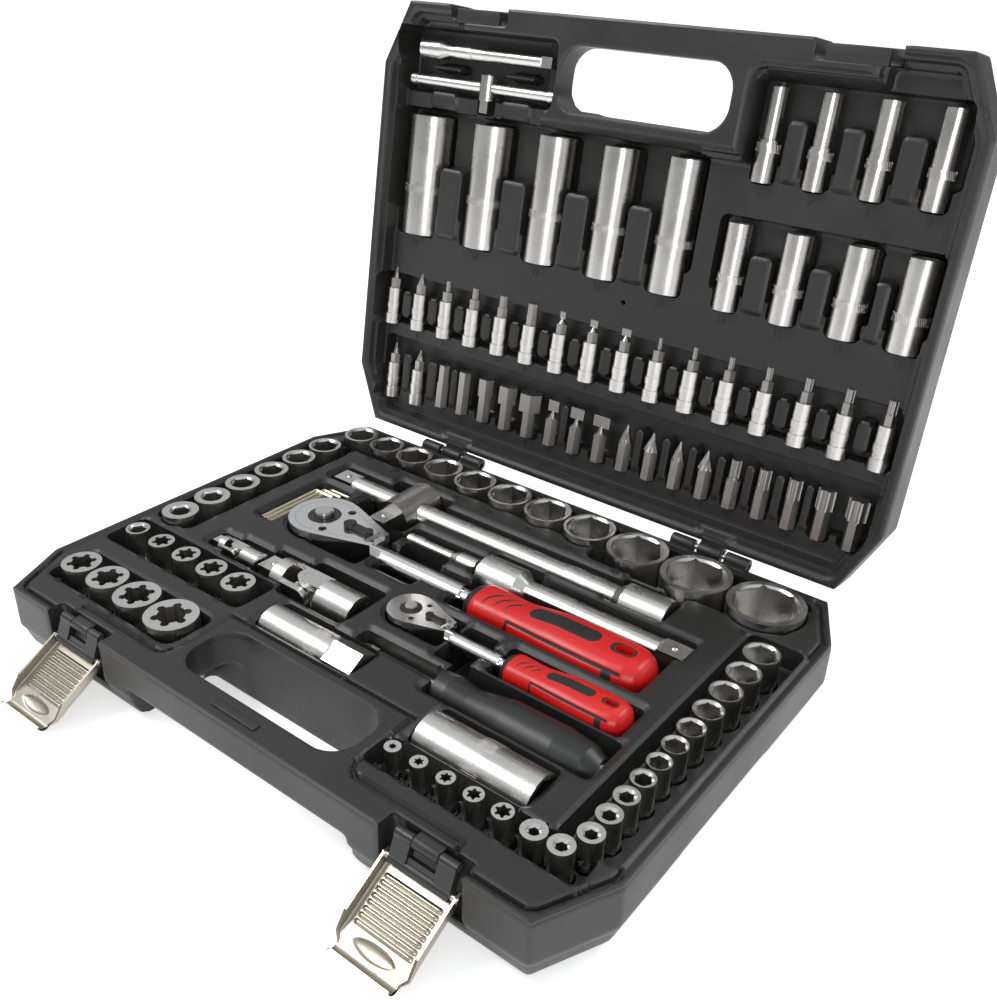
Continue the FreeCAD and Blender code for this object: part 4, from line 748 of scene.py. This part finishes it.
# ---------------------------------------------------------------- metal finishes
# The sockets and bars are steel under satin chrome, blasted before plating so that they reflect softly.
def metal_group():
    """Satin plating: slow cloudiness and a fine blasted texture."""
    group = bpy.data.node_groups.new("satin_plating", "ShaderNodeTree")
    for name, value in (("Cloud Scale", 35.0), ("Grain Scale", 5000.0)):
        socket = group.interface.new_socket(name, in_out="INPUT", socket_type="NodeSocketFloat")
        socket.default_value = value
    group.interface.new_socket("Clouds", in_out="OUTPUT", socket_type="NodeSocketFloat")
    group.interface.new_socket("Grain", in_out="OUTPUT", socket_type="NodeSocketFloat")
    inside = group.nodes.new("NodeGroupInput")
    outside = group.nodes.new("NodeGroupOutput")
    place = group.nodes.new("ShaderNodeTexCoord")
    clouds = group.nodes.new("ShaderNodeTexNoise")
    clouds.inputs["Detail"].default_value = 6
    grain = group.nodes.new("ShaderNodeTexNoise")
    grain.inputs["Detail"].default_value = 2
    for texture, size, out in ((clouds, "Cloud Scale", "Clouds"), (grain, "Grain Scale", "Grain")):
        link(group, place.outputs["Object"], texture.inputs["Vector"])
        link(group, inside.outputs[size], texture.inputs["Scale"])
        link(group, texture.outputs["Fac"], outside.inputs[out])
    return group


SATIN_PLATING = metal_group()


def plated(name, dark, light, rough, metallic=1.0, bump_strength=0.12):
    material, tree, shader = new_material(name)
    finish = tree.nodes.new("ShaderNodeGroup")
    finish.node_tree = SATIN_PLATING
    blend_colours(tree, finish.outputs["Clouds"], dark, light, shader)
    shader.inputs["Metallic"].default_value = metallic
    vary_roughness(tree, finish.outputs["Clouds"], rough * 0.85, rough * 1.15, shader)
    raise_grain(tree, finish.outputs["Grain"], bump_strength, 0.0002, shader)
    return material


satin_chrome = plated("satin_chrome", (0.50, 0.49, 0.47), (0.66, 0.65, 0.62), 0.27)
polished_chrome = plated("polished_chrome", (0.60, 0.59, 0.58), (0.74, 0.73, 0.72), 0.16, bump_strength=0.04)
latch_metal = plated("latch_metal", (0.36, 0.33, 0.27), (0.50, 0.46, 0.38), 0.28)
pin_steel = plated("pin_steel", (0.50, 0.47, 0.42), (0.66, 0.62, 0.56), 0.3)
dark_steel = plated("dark_steel", (0.05, 0.048, 0.045), (0.10, 0.095, 0.09), 0.35)
bit_steel = plated("bit_steel", (0.28, 0.27, 0.26), (0.42, 0.41, 0.39), 0.36)
key_gold = plated("key_gold", (0.55, 0.49, 0.36), (0.72, 0.65, 0.50), 0.32)
latch_plastic = plated("latch_plastic", (0.014, 0.014, 0.014), (0.022, 0.022, 0.022), 0.34, 0.0, 0.2)
black_grip = plated("black_grip", (0.010, 0.010, 0.010), (0.016, 0.016, 0.016), 0.36, 0.0, 0.25)
black_rubber = plated("black_rubber", (0.012, 0.012, 0.012), (0.020, 0.020, 0.020), 0.55, 0.0, 0.5)
FINISH = {"satin_chrome": satin_chrome, "polished_chrome": polished_chrome, "latch_metal": latch_metal,
          "pin_steel": pin_steel, "dark_steel": dark_steel, "bit_steel": bit_steel, "key_gold": key_gold,
          "latch_plastic": latch_plastic, "black_grip": black_grip, "black_rubber": black_rubber,
          "case_plastic": tray_plastic, "red_grip": black_rubber}
for row in frame["record"]["subparts"]:
    piece = frame["nodes"][row["node"]]
    piece.data.materials.clear()
    piece.data.materials.append(FINISH[row["material_slot"]])

# ---------------------------------------------------------------- latch plates
# Each draw latch is a plate pressed from nickel-plated sheet: side walls with ears on the pin, a ribbed thumb
# area, a shallow dish and a free end curled over to hook the lid. It swings on its steel pin.
PLATE_HANG = math.radians(120)
PLATE_HALF, PLATE_SHEET, PLATE_WALL = 19.4, 1.2, 5.6
CURL_FROM, CURL_RADIUS = 39.0, 3.6


def latch_plate(name, node, joint_name, body):
    pin = Vector(next(j for j in frame["joints"] if j["name"] == joint_name)["pos_m"]) * 1000
    section = [(-1, 1.0), (-1, 0.75), (-1, 0.5), (-1, 0.3), (-0.985, 0.12), (-0.95, 0.03)]
    section += [(u, 0.0) for u in np.linspace(-0.92, 0.92, 61)]
    section += [(-u, h) for u, h in section[5::-1]]
    u = np.array([p[0] for p in section]) * PLATE_HALF
    wall = np.array([p[1] for p in section])
    v = np.concatenate([np.linspace(-3, CURL_FROM, 180), CURL_FROM + np.linspace(0.06, 1, 16) * 6.4])
    rows = []
    for along_plate in v:
        taper = np.interp(along_plate, [-3, 0, 27, 35, CURL_FROM], [0.75, 1, 1, 0.35, 0])
        narrow = np.interp(along_plate, [35, CURL_FROM - 1], [1, 0.86])
        height = wall * PLATE_WALL * taper
        across = np.abs(u) / PLATE_HALF
        if 5.5 < along_plate < 29.5:
            ridge = 0.5 - 0.5 * math.cos((along_plate - 5.5) / 3.0 * 2 * math.pi)
            height = height + 0.95 * ridge ** 1.5 * np.clip((0.80 - across) / 0.06, 0, 1)
        dish = np.clip(1 - np.hypot(u / 11, (along_plate - 34.5) / 3.4) ** 2, 0, 1)
        height = height - 0.9 * np.sqrt(dish)
        bend = max(along_plate - CURL_FROM, 0) / CURL_RADIUS
        reach = min(along_plate, CURL_FROM) + CURL_RADIUS * math.sin(bend)
        height = height + CURL_RADIUS * (1 - math.cos(bend))
        rows.append(np.stack([u * narrow, height - 3.6, np.full_like(u, reach)], -1))
    points = np.array(rows)
    count, width = points.shape[:2]
    faces = [(i * width + k, i * width + k + 1, (i + 1) * width + k + 1, (i + 1) * width + k)
             for i in range(count - 1) for k in range(width - 1)]
    hang = np.array(Matrix.Rotation(PLATE_HANG, 3, "X"))
    places = (points.reshape(-1, 3) @ hang.T + np.array(pin)) * 0.001
    plate = make_object(name, places, faces, latch_metal)
    sheet = plate.modifiers.new("sheet", "SOLIDIFY")
    sheet.thickness = PLATE_SHEET * 0.001
    sheet.offset = 0
    mesh = bpy.data.meshes.new_from_object(plate.evaluated_get(bpy.context.evaluated_depsgraph_get()))
    plate.modifiers.clear()
    plate.data = mesh
    mesh.name = name
    bm = bmesh.new()
    bm.from_mesh(mesh)
    bmesh.ops.recalc_face_normals(bm, faces=bm.faces)
    bm.to_mesh(mesh)
    bm.free()
    mesh.shade_smooth()
    mesh.set_sharp_from_angle(angle=math.radians(50))
    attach(plate, body)
    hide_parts(node)


latch_plate("left_latch_plate", "latch_plate_left", "latch_plate_left_hinge", "latch_plate_left")
latch_plate("right_latch_plate", "latch_plate_right", "latch_plate_right_hinge", "latch_plate_right")

# ---------------------------------------------------------------- ratchet grips
# Each ratchet has a two-shot grip: red nylon with a soft black collar, flame-shaped grooves, a thumb pad,
# a dark line round its flanks and a black-lined hole to hang it by.
GRIP_RED = (0.62, 0.010, 0.008)
GRIP_BLACK = (0.012, 0.012, 0.012)
PLAN = [(0, 0.30), (0.03, 0.36), (0.07, 0.41), (0.16, 0.40), (0.27, 0.385), (0.36, 0.42), (0.45, 0.465),
        (0.58, 0.49), (0.70, 0.50), (0.82, 0.49), (0.90, 0.455), (0.95, 0.38), (0.98, 0.27), (0.995, 0.13),
        (1, 0.02)]
FLANK = [(0, 0.32), (0.06, 0.42), (0.3, 0.40), (0.5, 0.49), (0.9, 0.50), (0.95, 0.44), (0.98, 0.33),
         (0.995, 0.16), (1, 0.02)]


def grip_material():
    material, tree, shader = new_material("grip_two_shot")
    finish = tree.nodes.new("ShaderNodeGroup")
    finish.node_tree = SATIN_PLATING
    mask = tree.nodes.new("ShaderNodeAttribute")
    mask.attribute_name = "soft"
    crisp = tree.nodes.new("ShaderNodeMapRange")
    crisp.inputs["From Min"].default_value = 0.35
    crisp.inputs["From Max"].default_value = 0.65
    link(tree, mask.outputs["Fac"], crisp.inputs["Value"])
    shade = (GRIP_RED[0] * 0.85, GRIP_RED[1] * 0.8, GRIP_RED[2] * 0.8)
    red = blend_colours(tree, finish.outputs["Clouds"], shade, GRIP_RED, None)
    both = tree.nodes.new("ShaderNodeMix")
    both.data_type = "RGBA"
    both.inputs[7].default_value = (*GRIP_BLACK, 1)
    link(tree, crisp.outputs["Result"], both.inputs[0])
    link(tree, red.outputs[2], both.inputs[6])
    link(tree, both.outputs[2], shader.inputs["Base Color"])
    vary_roughness(tree, crisp.outputs["Result"], 0.33, 0.55, shader, 0.0, 1.0)
    raise_grain(tree, finish.outputs["Grain"], 0.2, 0.0002, shader)
    return material


two_shot = grip_material()


def ratchet_grip(name, node, inlay, body):
    low, high = [np.array(c) * 1000 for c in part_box(node)]
    length = high[0] - low[0]
    centre_y, centre_z = (low[1] + high[1]) / 2, (low[2] + high[2]) / 2
    half_width, half_deep = (high[1] - low[1]) / 2, (high[2] - low[2]) / 2
    scale = length / 124.0
    rings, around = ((300, 170))
    u = np.linspace(0, 1, rings)
    u = np.where(u < 0.85, u / 0.85 * 0.9, 0.9 + 0.1 * np.sin((u - 0.85) / 0.15 * math.pi / 2))
    wide = np.interp(u, *zip(*PLAN)) * 2 * half_width
    tall = np.interp(u, *zip(*FLANK)) * 2 * half_deep
    kernel = np.ones(7) / 7
    for profile in (wide, tall):
        middle = np.convolve(profile, kernel, "same")
        profile[8:-12] = middle[8:-12]
    angle = np.linspace(0, 2 * math.pi, around, endpoint=False)
    c, s = np.cos(angle), np.sin(angle)
    power = 2 / 2.7
    ry = np.sign(s) * np.abs(s) ** power
    rz = np.sign(c) * np.abs(c) ** power
    x = np.repeat(u[:, None] * 124.0, around, 1)
    y = wide[:, None] * ry[None, :]
    z = tall[:, None] * rz[None, :]
    yy, zz = y / scale, z / scale
    top = (zz > 4)
    soft = np.clip((5.6 - x) / 0.8 + 0.5, 0, 1)

    def stroke(distance, half):
        return np.clip((half - distance) / 0.7 + 0.5, 0, 1)

    flames = np.zeros_like(x)
    for number in range(3):
        middle = 13.5 + 7.2 * number + 0.055 * (yy + 7) ** 2
        half = 1.35 * np.clip(1 - np.abs(yy - 1.5) / (11.5 - 1.2 * number), 0, 1)
        flames = np.maximum(flames, np.where(top & (half > 0.05), stroke(np.abs(x - middle), half), 0))
    pad = np.where(top, stroke(box_distance(x, yy, (42, 89, -5.4, 5.4), 5.2), 0.0), 0)
    ring = np.where(np.abs(zz) > 6, stroke(box_distance(x, yy, (96, 112, -4.6, 4.6), 4.6), 0.0), 0)
    flank = np.degrees(np.arctan2(np.abs(yy), zz))
    line = np.where((x > 33) & (x < 111), stroke(np.abs(flank - 58) * 0.25, 0.85), 0)
    upright = np.where((flank > 58) & (flank < 140), stroke(np.abs(x - 33 - (flank - 58) * 0.02), 0.9), 0)
    wedge = np.where((flank > 58) & (flank < 150), stroke(np.abs(x - 103 - (flank - 58) * 0.05), 3.0), 0)
    for mask in (flames, pad, ring, line, upright, wedge):
        soft = np.maximum(soft, mask)
    push = 0.35 * pad - 0.9 * flames - 0.45 * np.maximum(line, upright) + 0.15 * soft * (x < 6)
    size = np.hypot(y, z) + 1e-9
    y = y + push * y / size * scale
    z = z + push * z / size * scale
    points = np.stack([low[0] + x * scale, centre_y + y, centre_z + z], -1).reshape(-1, 3)
    faces = []
    for i in range(rings - 1):
        for k in range(around):
            n = (k + 1) % around
            faces.append((i * around + k, i * around + n, (i + 1) * around + n, (i + 1) * around + k))
    caps = [points[:around].mean(0), points[-around:].mean(0)]
    first = len(points)
    points = np.concatenate([points, np.array(caps)])
    for k in range(around):
        n = (k + 1) % around
        faces.append((first, n, k))
        faces.append((first + 1, (rings - 1) * around + k, (rings - 1) * around + n))
    mesh = bpy.data.meshes.new(name)
    mesh.from_pydata([tuple(p * 0.001) for p in points], [], faces)
    attribute = mesh.attributes.new("soft", "FLOAT", "POINT")
    attribute.data.foreach_set("value", np.append(soft.ravel(), [1.0, 0.0]).astype(np.float32))
    mesh.materials.append(two_shot)
    grip = bpy.data.objects.new(name, mesh)
    bpy.context.scene.collection.objects.link(grip)
    bm = bmesh.new()
    bm.from_mesh(mesh)
    bmesh.ops.recalc_face_normals(bm, faces=bm.faces)
    bm.to_mesh(mesh)
    bm.free()
    hole = (low[0] + 99 * scale, low[0] + 110.5 * scale, centre_y - 3.1 * scale, centre_y + 3.1 * scale,
            low[2] - 5, high[2] + 5)
    cutter = bpy.data.objects.new("cutter", block_mesh(hole, lambda p: p * 0.001, 3.0 * scale))
    bpy.context.scene.collection.objects.link(cutter)
    boolean = grip.modifiers.new("hole", "BOOLEAN")
    boolean.operation = "DIFFERENCE"
    boolean.solver = "EXACT"
    boolean.object = cutter
    mesh = bpy.data.meshes.new_from_object(grip.evaluated_get(bpy.context.evaluated_depsgraph_get()))
    grip.modifiers.clear()
    bpy.data.objects.remove(cutter)
    grip.data = mesh
    mesh.name = name
    mesh.shade_smooth()
    mesh.set_sharp_from_angle(angle=math.radians(60))
    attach(grip, body)
    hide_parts(node, inlay)
    return grip


ratchet_grip("half_ratchet_handle", "half_ratchet_grip", "half_ratchet_grip_inlay", "half_ratchet")
ratchet_grip("quarter_ratchet_handle", "quarter_ratchet_grip", "quarter_ratchet_grip_inlay", "quarter_ratchet")

# ---------------------------------------------------------------- knurled bands
# Deep sockets, plug sockets and extension bars carry a rolled band of fine ridges for the fingers; bands are drawn
# here on the deep sockets in the lid and on the two plug sockets.
def ridge_tree():
    """A ring of ridges about Z: how many, how far out, how long, how wide and how proud."""
    tree = bpy.data.node_groups.new("knurl_band", "GeometryNodeTree")
    sockets = {}
    for name, kind, value in (("Ridges", "NodeSocketInt", 48), ("Radius", "NodeSocketFloat", 0.01),
                              ("Band Length", "NodeSocketFloat", 0.005), ("Ridge Width", "NodeSocketFloat", 0.0006),
                              ("Ridge Height", "NodeSocketFloat", 0.0004), ("Lean", "NodeSocketFloat", 0.25),
                              ("Finish", "NodeSocketMaterial", None)):
        socket = tree.interface.new_socket(name, in_out="INPUT", socket_type=kind)
        if value is not None:
            socket.default_value = value
        sockets[name] = socket.identifier
    tree.interface.new_socket("Band", in_out="OUTPUT", socket_type="NodeSocketGeometry")
    inside = tree.nodes.new("NodeGroupInput")
    outside = tree.nodes.new("NodeGroupOutput")
    circle = tree.nodes.new("GeometryNodeMeshCircle")
    link(tree, inside.outputs["Ridges"], circle.inputs["Vertices"])
    link(tree, inside.outputs["Radius"], circle.inputs["Radius"])
    ridge = tree.nodes.new("GeometryNodeMeshCube")
    size = tree.nodes.new("ShaderNodeCombineXYZ")
    link(tree, inside.outputs["Ridge Height"], size.inputs["X"])
    link(tree, inside.outputs["Ridge Width"], size.inputs["Y"])
    link(tree, inside.outputs["Band Length"], size.inputs["Z"])
    link(tree, size.outputs["Vector"], ridge.inputs["Size"])
    place = tree.nodes.new("GeometryNodeInputPosition")
    aim = tree.nodes.new("FunctionNodeAlignRotationToVector")
    aim.axis = "X"
    aim.pivot_axis = "Z"
    link(tree, place.outputs["Position"], aim.inputs["Vector"])
    lean = tree.nodes.new("FunctionNodeRotateRotation")
    lean.rotation_space = "LOCAL"
    angle = tree.nodes.new("ShaderNodeCombineXYZ")
    link(tree, inside.outputs["Lean"], angle.inputs["X"])
    link(tree, aim.outputs["Rotation"], lean.inputs["Rotation"])
    link(tree, angle.outputs["Vector"], lean.inputs["Rotate By"])
    spread = tree.nodes.new("GeometryNodeInstanceOnPoints")
    link(tree, circle.outputs["Mesh"], spread.inputs["Points"])
    link(tree, ridge.outputs["Mesh"], spread.inputs["Instance"])
    link(tree, lean.outputs["Rotation"], spread.inputs["Rotation"])
    real = tree.nodes.new("GeometryNodeRealizeInstances")
    link(tree, spread.outputs["Instances"], real.inputs["Geometry"])
    finish = tree.nodes.new("GeometryNodeSetMaterial")
    link(tree, real.outputs["Geometry"], finish.inputs["Geometry"])
    link(tree, inside.outputs["Finish"], finish.inputs["Material"])
    link(tree, finish.outputs["Geometry"], outside.inputs["Band"])
    return tree, sockets


KNURL, KNURL_INPUTS = ridge_tree()


def knurl_bands(name, bands, body):
    """Bands given as (centre in mm, direction, radius, length, ridges, lean), gathered into one piece."""
    bm = bmesh.new()
    for centre, direction, radius, length, ridges, lean in bands:
        holder = bpy.data.objects.new("band", bpy.data.meshes.new("band"))
        bpy.context.scene.collection.objects.link(holder)
        nodes = holder.modifiers.new("band", "NODES")
        nodes.node_group = KNURL
        for label, value in (("Ridges", ridges), ("Radius", radius * 0.001), ("Band Length", length * 0.001),
                             ("Ridge Width", 0.0011 * math.pi * radius / ridges), ("Ridge Height", 0.0006),
                             ("Lean", lean), ("Finish", satin_chrome)):
            nodes[KNURL_INPUTS[label]] = value
        mesh = bpy.data.meshes.new_from_object(holder.evaluated_get(bpy.context.evaluated_depsgraph_get()))
        turn = Vector(direction).to_track_quat("Z", "Y").to_matrix().to_4x4()
        mesh.transform(Matrix.Translation(Vector(centre) * 0.001) @ turn)
        bm.from_mesh(mesh)
        bpy.data.objects.remove(holder)
    mesh = bpy.data.meshes.new(name)
    bm.to_mesh(mesh)
    bm.free()
    mesh.materials.append(satin_chrome)
    piece = bpy.data.objects.new(name, mesh)
    bpy.context.scene.collection.objects.link(piece)
    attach(piece, body)
    return piece


bands = []
along = OPEN.to_3x3() @ Vector((0, 1, 0))
for tools, length in ((half_row, 77), (front_row + back_row, 49)):
    for low, high in tools:
        radius = (high[0] - low[0]) / 2
        middle = OPEN @ Vector(((low[0] + high[0]) / 2, low[1] + length * 0.58 + 2.5, (low[2] + high[2]) / 2))
        bands.append((middle, along, radius - 0.1, 4.6, int(radius * 5.2), 0.35))
knurl_bands("lid_socket_knurls", bands, "case_lid")


def bar_band(name, node, body, share, length, radius, lean=0.0):
    low, high = [np.array(c) * 1000 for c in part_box(node)]
    middle = (low[0] + (high[0] - low[0]) * share, (low[1] + high[1]) / 2, (low[2] + high[2]) / 2)
    knurl_bands(name, [(middle, (1, 0, 0), radius, length, int(radius * 6), lean)], body)


bar_band("plug_socket_21_knurl", "plug_socket_21", "plug_socket_21", 0.52, 9, 13.3)
bar_band("plug_socket_16_knurl", "plug_socket_16", "plug_socket_16", 0.56, 9, 11.1)

# ---------------------------------------------------------------- surroundings
# A plain pale floor, soft studio lights and the camera.
floor_mesh = bpy.data.meshes.new("floor")
floor_mesh.from_pydata([(-60, -60, 0), (60, -60, 0), (60, 60, 0), (-60, 60, 0)], [], [(0, 1, 2, 3)])
floor = bpy.data.objects.new("floor", floor_mesh)
bpy.context.scene.collection.objects.link(floor)
floor_material, tree, shader = new_material("floor_white")
shader.inputs["Base Color"].default_value = (0.80, 0.80, 0.80, 1)
shader.inputs["Roughness"].default_value = 0.95
shader.inputs["Specular IOR Level"].default_value = 0.1
shader.inputs["Emission Color"].default_value = (1, 1, 1, 1)
shader.inputs["Emission Strength"].default_value = 0.55
floor_mesh.materials.append(floor_material)


def soft_light(name, place, aim, size, power):
    lamp = bpy.data.lights.new(name, "AREA")
    lamp.shape = "RECTANGLE"
    lamp.size, lamp.size_y = size
    lamp.energy = power
    holder = bpy.data.objects.new(name, lamp)
    holder.location = place
    holder.rotation_mode = "QUATERNION"
    holder.rotation_quaternion = (Vector(aim) - Vector(place)).to_track_quat("-Z", "Y")
    bpy.context.scene.collection.objects.link(holder)


soft_light("key", (-0.9, -0.6, 1.4), (0, 0.05, 0.05), (0.7, 0.5), 15)
soft_light("front", (1.0, -1.3, 0.55), (0, 0.05, 0.1), (0.5, 0.35), 8)
soft_light("rear", (0.9, 1.2, 1.5), (0, 0.0, 0.05), (0.9, 0.35), 13)
world = bpy.data.worlds.new("studio")
world.use_nodes = True
tree = world.node_tree
sky = tree.nodes["Background"]
spot = tree.nodes.new("ShaderNodeTexCoord")
parted = tree.nodes.new("ShaderNodeSeparateXYZ")
ramp = tree.nodes.new("ShaderNodeValToRGB")
ramp.color_ramp.elements[0].position = 0.12
ramp.color_ramp.elements[0].color = (0.16, 0.16, 0.17, 1)
ramp.color_ramp.elements[1].position = 0.62
ramp.color_ramp.elements[1].color = (0.80, 0.82, 0.85, 1)
link(tree, spot.outputs["Generated"], parted.inputs["Vector"])
link(tree, parted.outputs["Z"], ramp.inputs["Fac"])
seen = tree.nodes.new("ShaderNodeLightPath")
choice = tree.nodes.new("ShaderNodeMix")
choice.data_type = "RGBA"
choice.inputs[7].default_value = (0.93, 0.93, 0.93, 1)
link(tree, seen.outputs["Is Camera Ray"], choice.inputs[0])
link(tree, ramp.outputs["Color"], choice.inputs[6])
link(tree, choice.outputs[2], sky.inputs["Color"])
sky.inputs["Strength"].default_value = 1.0
bpy.context.scene.world = world

VIEW_FROM = Vector((0.3278, -0.3703, 0.3716))
VIEW_TURN = math.radians(36.94)
VIEW_DOWN = math.radians(28.61)
VIEW_ROLL = math.radians(1.877)
lens = bpy.data.cameras.new("camera")
lens.sensor_width = 36
lens.lens = 38.57
lens.clip_start = 0.01
camera = bpy.data.objects.new("camera", lens)
back = Vector((math.sin(VIEW_TURN) * math.cos(VIEW_DOWN), -math.cos(VIEW_TURN) * math.cos(VIEW_DOWN),
               math.sin(VIEW_DOWN)))
right = Vector((math.cos(VIEW_TURN), math.sin(VIEW_TURN), 0))
upward = back.cross(right)
right_rolled = math.cos(VIEW_ROLL) * right + math.sin(VIEW_ROLL) * upward
up_rolled = back.cross(right_rolled)
camera.rotation_mode = "QUATERNION"
camera.rotation_quaternion = Matrix((right_rolled, up_rolled, back)).transposed().to_quaternion()
camera.location = VIEW_FROM
bpy.context.scene.collection.objects.link(camera)
bpy.context.scene.camera = camera
bpy.context.scene.view_settings.view_transform = "Standard"
